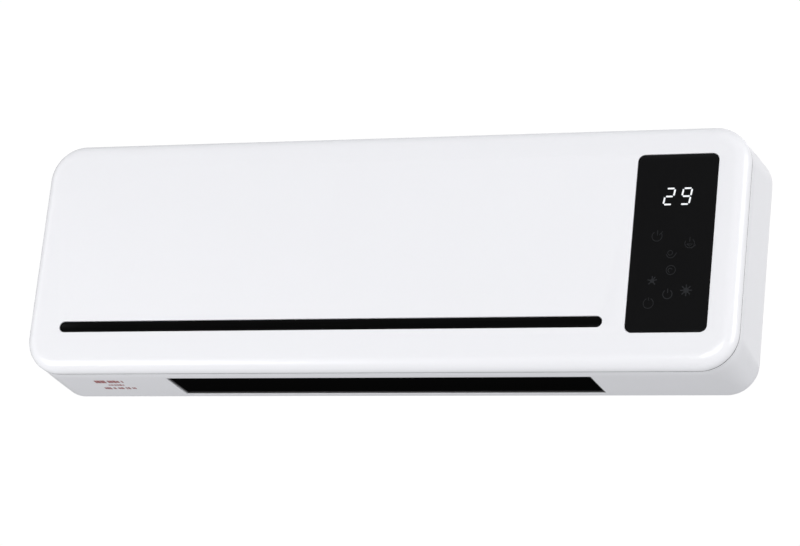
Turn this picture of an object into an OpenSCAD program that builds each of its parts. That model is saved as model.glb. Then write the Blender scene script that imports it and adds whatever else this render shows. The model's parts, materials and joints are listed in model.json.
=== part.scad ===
// Wall-mounted fan convector heater: a shallow casing with a clip-on front cover, a touch panel,
// a top air intake, a cross-flow fan, a ceramic heating element and a swinging outlet flap.
// Frame: X across the wall, Y into the wall, Z up. The wall is the plane y = 0.

/* [Casing] */
// Width of the casing
body_w = 540; // [536:1:560]
// Height of the casing
body_h = 177; // [177:1:184]
// Depth from the wall to the front face
body_d = 68; // [68:1:74]
// Radius of the casing's corners, seen from the front
corner_r = 27; // [24:1:30]
// Radius of the rounded edge round the front face
edge_r = 10; // [8:0.5:10]
// Wall thickness of the rear casing
wall = 2.2; // [2:0.1:2.4]
// Thickness of the front cover
skin = 2.2; // [2:0.1:2.4]
// Depth of the front cover from its face to the seam
cover_d = 13; // [12.5:0.5:14]

/* [Control panel] */
// Width of the touch glass
glass_w = 58.2; // [54:0.2:60]
// Height of the touch glass
glass_h = 130.2; // [120:0.2:132]
// Distance from the glass's centre to the casing's right side
glass_inset = 50.4; // [48:0.2:54]
// Height of the glass's centre above the middle of the casing
glass_z = 1.9; // [0:0.1:4]
// Height of a digit on the display
digit_h = 13; // [10:0.5:14]

/* [Trim strip] */
// Length of the dark strip across the front
strip_w = 417; // [360:1:420]
// Height of the dark strip
strip_h = 8.4; // [6:0.2:10]
// Distance from the strip's centre to the casing's left side
strip_inset = 235.4; // [232:0.2:240]
// Height of the strip's centre below the middle of the casing
strip_drop = 55; // [52:0.5:58]

/* [Air path] */
// Width of the outlet in the casing's underside
outlet_w = 324; // [324:1:328]
// Distance from the front face to the outlet's front edge
outlet_front = 21.7; // [21:0.1:22.5]
// Depth of the outlet, front to back
outlet_d = 40.2; // [40:0.1:40.6]
// Radius of the fan impeller
fan_r = 23; // [20:0.5:23]
// Number of impeller blades
blade_count = 26; // [12:1:30]
// Number of impeller sections
section_count = 8; // [4:1:10]
// Largest angle to which the outlet flap opens
flap_travel = 75; // [60:1:80]

/* [Wall bracket] */
// Distance between the bracket's wall holes, across
hole_dx = 160; // [120:5:170]
// Distance between the bracket's wall holes, up
hole_dz = 36; // [30:1:40]
// Radius of the bracket's wall holes
hole_r = 2.5; // [2:0.1:3]

/* [Hidden] */
$fn = 48;

cut = 1;                                  // how far a cutting tool runs past the solid
half_w = body_w / 2;
half_h = body_h / 2;
front = -body_d;                          // y of the front face
inner_front = front + skin;               // y of the front cover's inner face
seam_f = body_d - cover_d;                // seam's distance from the wall
seam_gap = 0.3;
floor_z = -half_h + wall;                 // top face of the casing's bottom wall
roof_z = half_h - wall;                   // under face of the casing's top wall

glass_x = half_w - glass_inset;
glass_t = 2;
glass_front = front + 0.2;                // the glass lies just below the cover's face
strip_x = strip_inset - half_w;

axis_y = -36;                             // impeller axis
axis_z = 26;
fan_half = 158;                           // half the impeller's length
plate_x = 163.5;                          // inner face of a duct end plate
plate_t = 1.2;
shaft_r = 2;
running = 0.05;                           // radial clearance of a running fit
duct_top = 80;
duct_base = -55.5;

outlet_y = [front + outlet_front, front + outlet_front + outlet_d];
nozzle_t = 1.6;
nozzle_in = [outlet_y[0] + nozzle_t, outlet_y[1] - nozzle_t];
nozzle_half = outlet_w / 2 - nozzle_t;
hinge_y = -14.5;                          // flap axis
hinge_z = floor_z + 3.1;
flap_t = 2.2;
flap_half = nozzle_half - 0.6;

heater_y = [-50, -14];
heater_z = [-52, -36];
heater_half = 150;
tube_t = 3;
tube_y = [-40, -27];                      // front faces of the two element tubes
fin_rows = [[heater_y[0], tube_y[0]], [tube_y[0] + tube_t, tube_y[1]], [tube_y[1] + tube_t, heater_y[1]]];

post_x = half_w - 18;                     // case screw posts, in the four corners
post_z = half_h - 18.5;
post_meet = -30;                          // y where the casing's and the cover's posts meet
screw_seat = -24;

pocket_w = 210;                           // recess in the back for the wall bracket
pocket_h = 64;
pocket_d = 5;
pocket_t = 1.8;
hook_x = 50;
hook_w = 12;

intake_y = [-48, -8];
intake_half = 165;
ledge = 3;

switch_y = -28;
switch_z = -12;
gland_z = -45;
cord_r = 3.6;

board_x = [186, 246];
board_z = [-52, 58];
board_y = [-14, -12.4];
display_y = [-58.4, -56.8];

// ---- drawing helpers -------------------------------------------------------------------------

// Child drawn in [y, z], extruded along X
module along_x(x0, x1) translate([x0, 0, 0]) rotate([90, 0, 90]) linear_extrude(x1 - x0) children();

// Child drawn in [x, z], extruded along Y
module along_y(y0, y1) translate([0, y1, 0]) rotate([90, 0, 0]) linear_extrude(y1 - y0) children();

// Child drawn in [x, y], extruded along Z
module along_z(z0, z1) translate([0, 0, z0]) linear_extrude(z1 - z0) children();

module box(x, y, z) translate([x[0], y[0], z[0]]) cube([x[1] - x[0], y[1] - y[0], z[1] - z[0]]);

module rod_x(y, z, r, x0, x1) translate([x0, y, z]) rotate([0, 90, 0]) cylinder(r = r, h = x1 - x0);

module rod_y(x, z, r, y0, y1) translate([x, y1, z]) rotate([90, 0, 0]) cylinder(r = r, h = y1 - y0);

// Rounded rectangle about the origin
module rounded(w, h, r) {
    square([w - 2 * r, h], center = true);
    square([w, h - 2 * r], center = true);
    for (sx = [-1, 1], sz = [-1, 1]) translate([sx * (w / 2 - r), sz * (h / 2 - r)]) circle(r);
}

// Sweeps a profile drawn in [distance from the corner's centre, distance from the wall]
// round the casing's rounded rectangle
module round_casing() rotate([90, 0, 0]) for (k = [0:3]) {
    a = (k % 2 == 0 ? half_w : half_h) - corner_r;
    b = (k % 2 == 0 ? half_h : half_w) - corner_r;
    rotate([0, 0, 90 * k]) translate([a, b, 0]) {
        rotate([90, 0, 0]) linear_extrude(2 * b) children();
        rotate_extrude(angle = 90) children();
    }
}

// The flat rectangle inside that sweep, between two depths
module middle(y0, y1) box([corner_r - half_w, half_w - corner_r], [y0, y1], [corner_r - half_h, half_h - corner_r]);

function unit(v) = v / norm(v);

// Points beside a path, at a distance to its left, with mitred bends
function beside(points, off) = let (last = len(points) - 1) [for (i = [0:last]) let (
    before = unit(points[max(i, 1)] - points[max(i, 1) - 1]),
    after = unit(points[min(i + 1, last)] - points[min(i + 1, last) - 1]),
    left = [-before[1], before[0]],
    mitre = unit(left + [-after[1], after[0]])
) points[i] + mitre * off / (mitre * left)];

// Thin wall that follows a list of points, drawn in the points' plane
module sheet_path(points, t) {
    one = beside(points, t / 2);
    other = beside(points, -t / 2);
    polygon(concat(one, [for (i = [len(other) - 1:-1:0]) other[i]]));
}

// Round wire through a list of 3-D points
module wire(points, r) for (i = [0:len(points) - 2]) {
    step = points[i + 1] - points[i];
    translate(points[i]) {
        rotate([0, acos(step[2] / norm(step)), atan2(step[1], step[0])])
            cylinder(r = r, h = norm(step), $fn = 16);
        if (i > 0) sphere(1.15 * r, $fn = 16);
    }
}

// Screw along Y: its head spans head_t from the seat towards the wall, its shank runs to the front
module screw_y(x, z, seat, head_r, head_t, r, length) difference() {
    union() {
        rod_y(x, z, head_r, seat, seat + head_t);
        rod_y(x, z, r, seat - length, seat);
    }
    cross_slot(x, seat + head_t, z, head_r, head_t, 1);
}

// The same screw turned round, with its head towards the front
module screw_y_back(x, z, seat, head_r, head_t, r, length) difference() {
    union() {
        rod_y(x, z, head_r, seat - head_t, seat);
        rod_y(x, z, r, seat, seat + length);
    }
    cross_slot(x, seat - head_t, z, head_r, head_t, -1);
}

// Crossed driver recess in a head that faces +Y or -Y
module cross_slot(x, y, z, head_r, head_t, way) for (turn = [0, 90])
    translate([x, y, z]) rotate([0, turn, 0])
        cube([1.1 * head_r, head_t, 0.25 * head_r], center = true);

// ---- front cover and panel -------------------------------------------------------------------

// Section of a rounded slab: out to r, from the back depth to the front depth, edge radius e
module edge_section(r, back_f, front_f, e) intersection() {
    union() {
        translate([0, back_f]) square([r - e, front_f - back_f]);
        translate([0, back_f]) square([r, front_f - e - back_f]);
        translate([r - e, front_f - e]) circle(e);
    }
    translate([0, back_f]) square([r, front_f - back_f]);
}

module cover_section() difference() {
    edge_section(corner_r, seam_f, body_d, edge_r);
    edge_section(corner_r - skin, seam_f - cut, body_d - skin, edge_r - skin);
}

module at_glass() translate([glass_x, glass_z]) children();

module at_strip() translate([strip_x, -strip_drop]) children();

module front_cover() color("white") {
    glass_gap = 0.25;
    ledge_t = 2.4;
    groove_d = 1.6;
    pad_t = 1.6;
    difference() {
        union() {
            round_casing() cover_section();
            middle(front, inner_front);
            along_y(inner_front, inner_front + ledge_t) at_glass() rounded(glass_w + 8, glass_h + 8, 8);
            along_y(inner_front, inner_front + pad_t) at_strip() rounded(strip_w + 6, strip_h + 6, strip_h / 2 + 2.9);
            for (sx = [-1, 1], sz = [-1, 1]) rod_y(sx * post_x, sz * post_z, 4, inner_front, post_meet - 0.2);
            for (sx = [-1, 1], sz = [-1, 1]) rod_y(glass_x + sx * 27.5, glass_z + sz * 50, 2.2, inner_front, display_y[0]);
        }
        along_y(front - cut, inner_front) at_glass()
            rounded(glass_w + 2 * glass_gap, glass_h + 2 * glass_gap, 5 + glass_gap);
        along_y(front - cut, inner_front + ledge_t + cut) at_glass() rounded(glass_w - 8, glass_h - 10, 3);
        along_y(front - cut, front + groove_d) at_strip() rounded(strip_w, strip_h, strip_h / 2 - 0.01);
        for (sx = [-1, 1], sz = [-1, 1]) rod_y(sx * post_x, sz * post_z, 1.55, -50, post_meet);
        for (sx = [-1, 1], sz = [-1, 1])
            rod_y(glass_x + sx * 27.5, glass_z + sz * 50, 0.9, display_y[0] - 4, display_y[0] + cut);
    }
}

module trim_strip() color("black")
    along_y(front + 0.6, front + 1.6) at_strip() rounded(strip_w - 0.3, strip_h - 0.3, strip_h / 2 - 0.16);

module touch_glass() color("black")
    along_y(glass_front, glass_front + glass_t) at_glass() rounded(glass_w, glass_h, 5);

// Ring with a gap at the top, centred on a point of the panel
module open_ring(r, t, gap) difference() {
    circle(r);
    circle(r - t);
    if (gap > 0) translate([-gap / 2, 0]) square([gap, r + cut]);
}

module power_mark() {
    open_ring(3.9, 0.5, 2.2);
    translate([-0.25, 0.8]) square([0.5, 3.6]);
}

module sun_mark(core, reach, rays) {
    circle(core);
    for (k = [0:rays - 1]) rotate(90 + k * 360 / rays) translate([core + 0.5, -0.25]) square([reach - core - 0.5, 0.5]);
}

module clock_mark() {
    open_ring(3.6, 0.45, 0);
    translate([-0.2, 0]) square([0.4, 2.2]);
    square([1.7, 0.4]);
}

module swing_mark() {
    open_ring(3.1, 0.45, 2.4);
    open_ring(1.4, 0.4, 0);
    rotate(-45) translate([0.5, -3.4]) square([4.2, 0.45]);
}

module fan_mark() {
    circle(0.8);
    for (k = [0:2]) rotate(120 * k) translate([0, 2.3]) difference() {
        circle(1.6);
        translate([0.9, 0]) circle(1.3);
    }
}

module touch_icons() color("dimgray") along_y(glass_front - 0.1, glass_front) {
    translate([glass_x - 0.2, -35.8]) power_mark();
    translate([glass_x - 13.4, -42.3]) clock_mark();
    translate([glass_x + 12.7, -33.2]) sun_mark(1.8, 4, 8);
    translate([glass_x - 12.1, -26]) sun_mark(1.3, 3.4, 7);
    translate([glass_x + 0.5, -18.3]) clock_mark();
    translate([glass_x - 0.2, -6.1]) swing_mark();
    translate([glass_x + 12.6, 1.1]) fan_mark();
    translate([glass_x - 11.2, 6.6]) power_mark();
}

// Seven-segment digit about its centre: which segments are lit, from the top clockwise, then the bar
module digit(lit) {
    w = 6.2;
    t = 1.3;
    gap = 0.35;
    slant = 0.15;
    h = digit_h - t;
    // end points of the seven segments
    ends = [
        [[-w / 2, h / 2], [w / 2, h / 2]], [[w / 2, h / 2], [w / 2, 0]], [[w / 2, 0], [w / 2, -h / 2]],
        [[w / 2, -h / 2], [-w / 2, -h / 2]], [[-w / 2, -h / 2], [-w / 2, 0]], [[-w / 2, 0], [-w / 2, h / 2]],
        [[-w / 2, 0], [w / 2, 0]]
    ];
    for (k = [0:6]) if (lit[k] == 1) {
        lean = function(p) [p[0] + slant * p[1], p[1]];
        a = lean(ends[k][0]);
        b = lean(ends[k][1]);
        along = (b - a) / norm(b - a);
        side = [-along[1], along[0]] * t / 2;
        polygon([
            a + along * gap, a + along * (gap + t / 2) + side, b - along * (gap + t / 2) + side,
            b - along * gap, b - along * (gap + t / 2) - side, a + along * (gap + t / 2) - side
        ]);
    }
}

module display_digits() color("white") along_y(glass_front - 0.1, glass_front) {
    translate([glass_x - 4.6, glass_z + 33.8]) digit([1, 1, 0, 1, 1, 0, 1]);
    translate([glass_x + 7.6, glass_z + 33.8]) digit([1, 1, 1, 1, 0, 1, 1]);
}

module display_board() color("darkgreen") difference() {
    along_y(display_y[0], display_y[1]) at_glass() rounded(60, 124, 2);
    for (sx = [-1, 1], sz = [-1, 1])
        rod_y(glass_x + sx * 27.5, glass_z + sz * 50, 1.1, display_y[0] - cut, display_y[1] + cut);
}

module display_module() color("dimgray")
    box([glass_x - 11, glass_x + 14], [-65.4, display_y[0]], [glass_z + 25, glass_z + 43]);

module display_screws() color("silver") for (sx = [-1, 1], sz = [-1, 1])
    screw_y(glass_x + sx * 27.5, glass_z + sz * 50, display_y[1], 2, 1.4, 0.85, 5);

// Places of the eight touch keys on the glass
key_places = [[-0.2, -35.8], [-13.4, -42.3], [12.7, -33.2], [-12.1, -26], [0.5, -18.3], [-0.2, -6.1], [12.6, 1.1], [-11.2, 6.6]];

module touch_springs() color("silver") for (p = key_places) difference() {
    rod_y(glass_x + p[0], p[1], 2.6, glass_front + glass_t, display_y[0]);
    rod_y(glass_x + p[0], p[1], 2.1, glass_front + glass_t - cut, display_y[0] + cut);
}

module remote_sensor() color("black") {
    box([glass_x + 14, glass_x + 20], [-61.4, display_y[0]], [glass_z + 49, glass_z + 56]);
    rod_y(glass_x + 17, glass_z + 52.5, 2.2, -62.6, -61.4);
}

// ---- rear casing, fixings and wall bracket ---------------------------------------------------

module casing_section() {
    square([corner_r - wall, wall]);
    translate([corner_r - wall, wall]) square([wall, seam_f - seam_gap - wall]);
    intersection() {
        translate([corner_r - wall, wall]) circle(wall);
        translate([corner_r - wall, 0]) square(wall);
    }
    translate([corner_r - wall - 1.7, seam_f - 6]) square([1.7, 6 - seam_gap]);
    translate([corner_r - wall - 1.7, seam_f - seam_gap]) square([1.5, 3 + seam_gap]);
}

// Places where the duct's end plates are screwed to the casing, [x, z]
duct_bosses = [for (sx = [-1, 1], z = [62, -40]) [sx * 174, z]];

board_bosses = [for (x = [board_x[0] + 4, board_x[1] - 4], z = [board_z[0] + 4, board_z[1] - 4]) [x, z]];

module rear_casing() color("whitesmoke") difference() {
    union() {
        round_casing() casing_section();
        middle(-wall, 0);
        along_y(-pocket_d - pocket_t, 0) square([pocket_w + 2 * pocket_t, pocket_h + 2 * pocket_t], center = true);
        for (sx = [-1, 1], sz = [-1, 1]) rod_y(sx * post_x, sz * post_z, 5.4, post_meet, -wall / 2);
        for (p = duct_bosses) rod_y(p[0], p[1], 4, -9, -wall / 2);
        for (p = board_bosses) rod_y(p[0], p[1], 3, board_y[1], -wall / 2);
    }
    // recess for the wall bracket, and the two slots for its hooks
    along_y(-pocket_d, cut) square([pocket_w, pocket_h], center = true);
    for (sx = [-1, 1]) box([sx * hook_x - 7, sx * hook_x + 7], [-pocket_d - pocket_t - cut, -pocket_d + cut], [-19, -3]);
    // screw holes
    for (sx = [-1, 1], sz = [-1, 1]) {
        rod_y(sx * post_x, sz * post_z, 3.6, screw_seat, cut);
        rod_y(sx * post_x, sz * post_z, 1.9, post_meet - cut, screw_seat + cut);
    }
    for (p = duct_bosses) rod_y(p[0], p[1], 1.45, -9 - cut, -3.5);
    for (p = board_bosses) rod_y(p[0], p[1], 1.25, board_y[1] - cut, -5);
    // outlet below, intake above with a ledge for the grille
    box([-outlet_w / 2, outlet_w / 2], outlet_y, [-half_h - cut, floor_z + cut]);
    box([-intake_half, intake_half], intake_y, [half_h - 1.2, half_h + cut]);
    box([ledge - intake_half, intake_half - ledge], [intake_y[0] + ledge, intake_y[1] - ledge], [roof_z - cut, half_h + cut]);
    // switch and cord gland in the left side
    box([-half_w - cut, -half_w + wall + cut], [switch_y - 6.6, switch_y + 6.6], [switch_z - 9.8, switch_z + 9.8]);
    rod_x(switch_y, gland_z, 6.5, -half_w - cut, -half_w + wall + cut);
}

module case_screws() color("silver") for (sx = [-1, 1], sz = [-1, 1])
    screw_y(sx * post_x, sz * post_z, screw_seat, 3.2, 2.4, 1.5, 20);

module wall_bracket() color("silver") {
    plate_d = 1.5;
    difference() {
        along_y(-plate_d, 0) rounded(200, 56, 6);
        for (sx = [-1, 1], sz = [-1, 1]) rod_y(sx * hole_dx / 2, sz * hole_dz / 2, hole_r, -plate_d - cut, cut);
        along_y(-plate_d - cut, cut) rounded(50, 16, 4);
    }
    for (sx = [-1, 1]) {
        box([sx * hook_x - hook_w / 2, sx * hook_x + hook_w / 2], [-8.6, -plate_d], [-16, -14.5]);
        box([sx * hook_x - hook_w / 2, sx * hook_x + hook_w / 2], [-8.6, -7.1], [-14.5, -6]);
    }
}

module cord_gland() color("black") difference() {
    union() {
        rod_x(switch_y, gland_z, 9.5, -half_w - 2.5, -half_w);
        rod_x(switch_y, gland_z, 7.2, -half_w - 8, -half_w - 2.5);
        rod_x(switch_y, gland_z, 6.4, -half_w, -half_w + 13);
    }
    rod_x(switch_y, gland_z, cord_r, -half_w - 8 - cut, -half_w + 13 + cut);
}

module gland_nut() color("dimgray") difference() {
    translate([-half_w + wall, switch_y, gland_z]) rotate([0, 90, 0]) cylinder(r = 9.5, h = 5, $fn = 6);
    rod_x(switch_y, gland_z, 6.45, -half_w + wall - cut, -half_w + wall + 5 + cut);
}

module switch_housing() color("black") difference() {
    union() {
        box([-half_w - 1.8, -half_w], [switch_y - 7.5, switch_y + 7.5], [switch_z - 10.8, switch_z + 10.8]);
        box([-half_w, -half_w + 16], [switch_y - 6.5, switch_y + 6.5], [switch_z - 9.7, switch_z + 9.7]);
        for (z = [-6, 0, 6]) box([-half_w + 16, -half_w + 24], [switch_y - 2.4, switch_y + 2.4], [switch_z + z - 0.4, switch_z + z + 0.4]);
    }
    box([-half_w - 1.8 - cut, -half_w + 9], [switch_y - 5.4, switch_y + 5.4], [switch_z - 9.3, switch_z + 9.3]);
    rod_y(-half_w + 2, switch_z, 1.2 + running, switch_y - 6.4, switch_y + 6.4);
}

// Half the rocker's travel
rocker_tilt = 9;

module switch_rocker() color("firebrick") {
    translate([-half_w + 2, 0, switch_z]) rotate([0, -rocker_tilt, 0]) along_y(switch_y - 5.2, switch_y + 5.2) {
        // rocker section, [outwards, up], with a shallow valley between its two faces
        mirror([1, 0]) polygon([[-1.5, -7], [-1.5, 7], [1.5, 8.2], [4.2, 8.2], [2.6, 0], [4.2, -8.2], [1.5, -8.2]]);
    }
    rod_y(-half_w + 2, switch_z, 1.2, switch_y - 6.3, switch_y + 6.3);
}

// ---- intake ----------------------------------------------------------------------------------

module intake_grille() color("whitesmoke") {
    pitch = 8;
    slots = 40;
    difference() {
        box([0.3 - intake_half, intake_half - 0.3], [intake_y[0] + 0.3, intake_y[1] - 0.3], [half_h - 1.2, half_h]);
        for (k = [0:slots - 1]) translate([(k - (slots - 1) / 2) * pitch - 2.5, intake_y[0] + 4.5, half_h - 1.2 - cut])
            cube([5, 31, 1.2 + 2 * cut]);
    }
}

module filter_frame() color("dimgray") {
    outer_x = intake_half - ledge - 0.3;
    outer_y = [intake_y[0] + ledge + 0.3, intake_y[1] - ledge - 0.3];
    t = 1.8;
    z = [half_h - 6.5, half_h - 1.2];
    difference() {
        box([-outer_x, outer_x], outer_y, z);
        box([t - outer_x, outer_x - t], [outer_y[0] + t, outer_y[1] - t], [z[0] - cut, z[1] + cut]);
    }
    for (k = [-3:3]) box([k * 40 - 0.8, k * 40 + 0.8], [outer_y[0] + t, outer_y[1] - t], [z[0], z[0] + 1.6]);
}

module filter_mesh() color("black")
    box([-159.9, 159.9], [intake_y[0] + 5.1, intake_y[1] - 5.1], [half_h - 4.9, half_h - 4.4]);

// ---- fan duct --------------------------------------------------------------------------------

// The back of the duct opens round the impeller as a spiral
spiral = [for (a = [30:-9:-60]) [axis_y, axis_z] + (fan_r + 2.5 + (30 - a) * 0.06) * [cos(a), sin(a)]];

module scroll_back() color("silver") along_x(-plate_x, plate_x)
    sheet_path(concat([[-9.5, duct_top - 0.1]], spiral, [[-13.4, -33], [-13.4, duct_base]]), plate_t);

module scroll_front() color("silver") along_x(-plate_x, plate_x)
    sheet_path([[-47.5, duct_top - 0.5], [-62.6, 62], [-62.6, 17], [-59.5, 8], [-53, -10], [-50.6, -33], [-50.6, duct_base]], plate_t);

// Outline of a duct end plate, in [y, z]
module end_outline() polygon([[-8, duct_top], [-49, duct_top], [-64, 63], [-64, 12], [-54.5, -12], [-52, duct_base], [-8, duct_base]]);

// Plate on one side, with its two screw tabs; the child is cut out of it
module duct_end(side) difference() {
    union() {
        x0 = side > 0 ? plate_x : -plate_x - plate_t;
        along_x(x0, x0 + plate_t) end_outline();
        for (p = duct_bosses) if (p[0] * side > 0)
            box(side > 0 ? [plate_x, 181] : [-181, -plate_x], [-10.2, -9], [p[1] - 7, p[1] + 7]);
    }
    for (p = duct_bosses) rod_y(p[0], p[1], 1.6, -10.2 - cut, -9 + cut);
    children();
}

motor_bolts = [axis_y - 17, axis_y + 17];         // y of the motor's two through bolts

module duct_end_left() color("silver") duct_end(-1) {
    rod_x(axis_y, axis_z, 9, -plate_x - plate_t - cut, -plate_x + cut);
    for (y = motor_bolts) rod_x(y, axis_z, 1.6, -plate_x - plate_t - cut, -plate_x + cut);
}

module duct_end_right() color("silver") duct_end(1) {
    rod_x(axis_y, axis_z, 9, plate_x - cut, plate_x + plate_t + cut);
    box([plate_x - cut, plate_x + plate_t + cut], [-49, -15], [-50, -38]);
    rod_x(-30, -18, 7, plate_x - cut, plate_x + plate_t + cut);
}

module duct_screws() color("silver") for (p = duct_bosses) screw_y_back(p[0], p[1], -10.2, 2.8, 1.8, 1.4, 6);

// ---- impeller and motor ----------------------------------------------------------------------

// Section of one forward-curved blade in [y, z], between two radii
module blade_section(r0, r1, t) {
    steps = 5;
    // the blade leans ahead as it runs outwards
    line = [for (k = [0:steps]) let (s = k / steps, r = r0 + (r1 - r0) * s, a = 14 * s * s) r * [cos(a), sin(a)]];
    side = [for (k = [0:steps]) let (s = k / steps, a = 14 * s * s + 60 * s) t / 2 * [-sin(a), cos(a)]];
    polygon(concat([for (k = [0:steps]) line[k] + side[k]], [for (k = [steps:-1:0]) line[k] - side[k]]));
}

module impeller_blades() color("black") along_x(-fan_half, fan_half) translate([axis_y, axis_z])
    for (k = [0:blade_count - 1]) rotate(k * 360 / blade_count) blade_section(fan_r - 5.5, fan_r - 0.6, 0.9);

module impeller_discs() color("black") for (k = [0:section_count]) {
    x0 = -fan_half + k * (2 * fan_half - 1.2) / section_count;
    hole = k == 0 || k == section_count ? 7 : fan_r - 6.5;
    difference() {
        rod_x(axis_y, axis_z, fan_r, x0, x0 + 1.2);
        rod_x(axis_y, axis_z, hole, x0 - cut, x0 + 1.2 + cut);
    }
}

module impeller_hubs() color("dimgray") for (side = [-1, 1]) {
    x = side > 0 ? [fan_half - 10, fan_half] : [-fan_half, 10 - fan_half];
    difference() {
        rod_x(axis_y, axis_z, 7, x[0], x[1]);
        rod_x(axis_y, axis_z, shaft_r, x[0] - cut, x[1] + cut);
    }
}

module impeller_stub_shaft() color("silver") rod_x(axis_y, axis_z, shaft_r, fan_half - 10, 170);

module motor_shaft() color("silver") rod_x(axis_y, axis_z, shaft_r, -204, 10 - fan_half);

stack_x = [-192, -176];

module motor_rotor() color("silver") difference() {
    rod_x(axis_y, axis_z, 12.9, stack_x[0], stack_x[1]);
    rod_x(axis_y, axis_z, shaft_r, stack_x[0] - cut, stack_x[1] + cut);
}

module motor_stack() color("gray") difference() {
    box(stack_x, [axis_y - 21, axis_y + 21], [4, 66]);
    rod_x(axis_y, axis_z, 13.3, stack_x[0] - cut, stack_x[1] + cut);
    box([stack_x[0] - cut, stack_x[1] + cut], [axis_y - 13, axis_y + 13], [44, 56]);
    for (y = motor_bolts) rod_x(y, axis_z, 1.6, stack_x[0] - cut, stack_x[1] + cut);
}

module motor_coil() color("peru") difference() {
    box([-200, -168], [axis_y - 11, axis_y + 11], [45.5, 76.5]);
    box([stack_x[0] - 0.2, stack_x[1] + 0.2], [axis_y - 11 - cut, axis_y + 11 + cut], [55.8, 66.2]);
}

// Bearing bridge over one side of the stack: side is where it stands, foot where it meets the stack
module motor_bridge(foot, outer) difference() {
    way = outer > foot ? 1 : -1;
    strip = way > 0 ? [outer - 1.5, outer] : [outer, outer + 1.5];
    union() {
        box(strip, [axis_y - 21, axis_y + 21], [axis_z - 5, axis_z + 5]);
        for (y = motor_bolts) box([min(foot, outer), max(foot, outer)], [y - 3.5, y + 3.5], [axis_z - 5, axis_z + 5]);
        rod_x(axis_y, axis_z, 5, way > 0 ? outer - 4 : outer - 3, way > 0 ? outer + 3 : outer + 4);
    }
    rod_x(axis_y, axis_z, shaft_r + running, min(foot, outer) - 5, max(foot, outer) + 5);
    for (y = motor_bolts) rod_x(y, axis_z, 1.6, min(foot, outer) - cut, max(foot, outer) + cut);
}

module motor_bridges() color("silver") {
    motor_bridge(stack_x[1], -169.5);
    motor_bridge(stack_x[0], -198.5);
}

module motor_grommets() color("black") for (y = motor_bolts) difference() {
    rod_x(y, axis_z, 4, -169.5, -plate_x - plate_t);
    rod_x(y, axis_z, 1.6, -169.5 - cut, -plate_x - plate_t + cut);
}

module motor_screws() color("silver") for (y = motor_bolts) {
    rod_x(y, axis_z, 2.8, -200.3, -198.5);
    rod_x(y, axis_z, 1.5, -198.5, -161.5);
}

module bearing_cup() color("black") difference() {
    union() {
        rod_x(axis_y, axis_z, 9, 161, plate_x + plate_t);
        rod_x(axis_y, axis_z, 12, plate_x + plate_t, 167.5);
    }
    rod_x(axis_y, axis_z, 5, 161 - cut, 167.5 + cut);
}

module bearing_bush() color("goldenrod") difference() {
    rod_x(axis_y, axis_z, 5, 161, 169);
    rod_x(axis_y, axis_z, shaft_r + running, 161 - cut, 169 + cut);
}

// ---- heating element and its safety parts ----------------------------------------------------

// One zigzag fin strip between two faces, drawn in [x, y]
module fin_strip(y0, y1) {
    half_pitch = 2.5;
    t = 0.6;
    n = round(2 * heater_half / half_pitch);
    function at(k) = [k * half_pitch - heater_half, k % 2 == 0 ? y0 + 0.2 : y1 - 0.2];
    intersection() {
        polygon(concat([for (k = [0:n]) at(k) + [0, t]], [for (k = [n:-1:0]) at(k) - [0, t]]));
        translate([-heater_half, y0]) square([2 * heater_half, y1 - y0]);
    }
}

module heater_fins() color("silver") for (row = fin_rows) along_z(heater_z[0], heater_z[1]) fin_strip(row[0], row[1]);

module heater_tubes() color("silver") for (y = tube_y) box([-heater_half, heater_half], [y, y + tube_t], heater_z);

module heater_holders() color("black") for (side = [-1, 1])
    box(side > 0 ? [heater_half, 160] : [-160, -heater_half], heater_y, [heater_z[0] - 2, heater_z[1] + 2]);

module heater_terminals() color("goldenrod") for (y = [-45, -32, -19])
    box([160, 171], [y - 3.1, y + 3.1], [-44.4, -43.6]);

module thermal_cutout() color("black") {
    rod_x(-30, -18, 6.8, 161, plate_x + plate_t);
    rod_x(-30, -18, 8, plate_x + plate_t, 170);
    for (y = [-36, -24]) box([170, 177], [y - 3, y + 3], [-18.4, -17.6]);
}

module thermal_fuse() color("tan") rod_x(-22, heater_z[1] + 1.8, 1.8, 120, 132);

// ---- outlet and flap -------------------------------------------------------------------------

module outlet_nozzle() color("black") difference() {
    union() {
        box([-outlet_w / 2, outlet_w / 2], outlet_y, [-half_h, -55.5]);
        box([-outlet_w / 2, outlet_w / 2], [-52, outlet_y[1]], [-57, -55.5]);
    }
    box([-nozzle_half, nozzle_half], nozzle_in, [-half_h - cut, -57]);
    box([-158, 158], [nozzle_in[0], -14], [-57 - cut, -55.5 + cut]);
    rod_x(hinge_y, hinge_z, 1.5 + running, -outlet_w / 2 - cut, -nozzle_half + cut);
    rod_x(hinge_y, hinge_z, 2.8 + running, nozzle_half - cut, outlet_w / 2 + cut);
    for (z = [-62, -71]) rod_x(z < -65 ? -32 : -10.5, z, 1.1, nozzle_half - cut, outlet_w / 2 + cut);
}

module outlet_guard() color("dimgray") {
    wire_r = 0.8;
    guard_z = -63;
    for (y = [-36, -20]) rod_x(y, guard_z, wire_r, -nozzle_half, nozzle_half);
    for (k = [-7:7]) rod_y(k * 21, guard_z, wire_r, nozzle_in[0], nozzle_in[1]);
}

flap_y = [nozzle_in[0] + 0.7, -11];
ear_t = 2.5;

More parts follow.
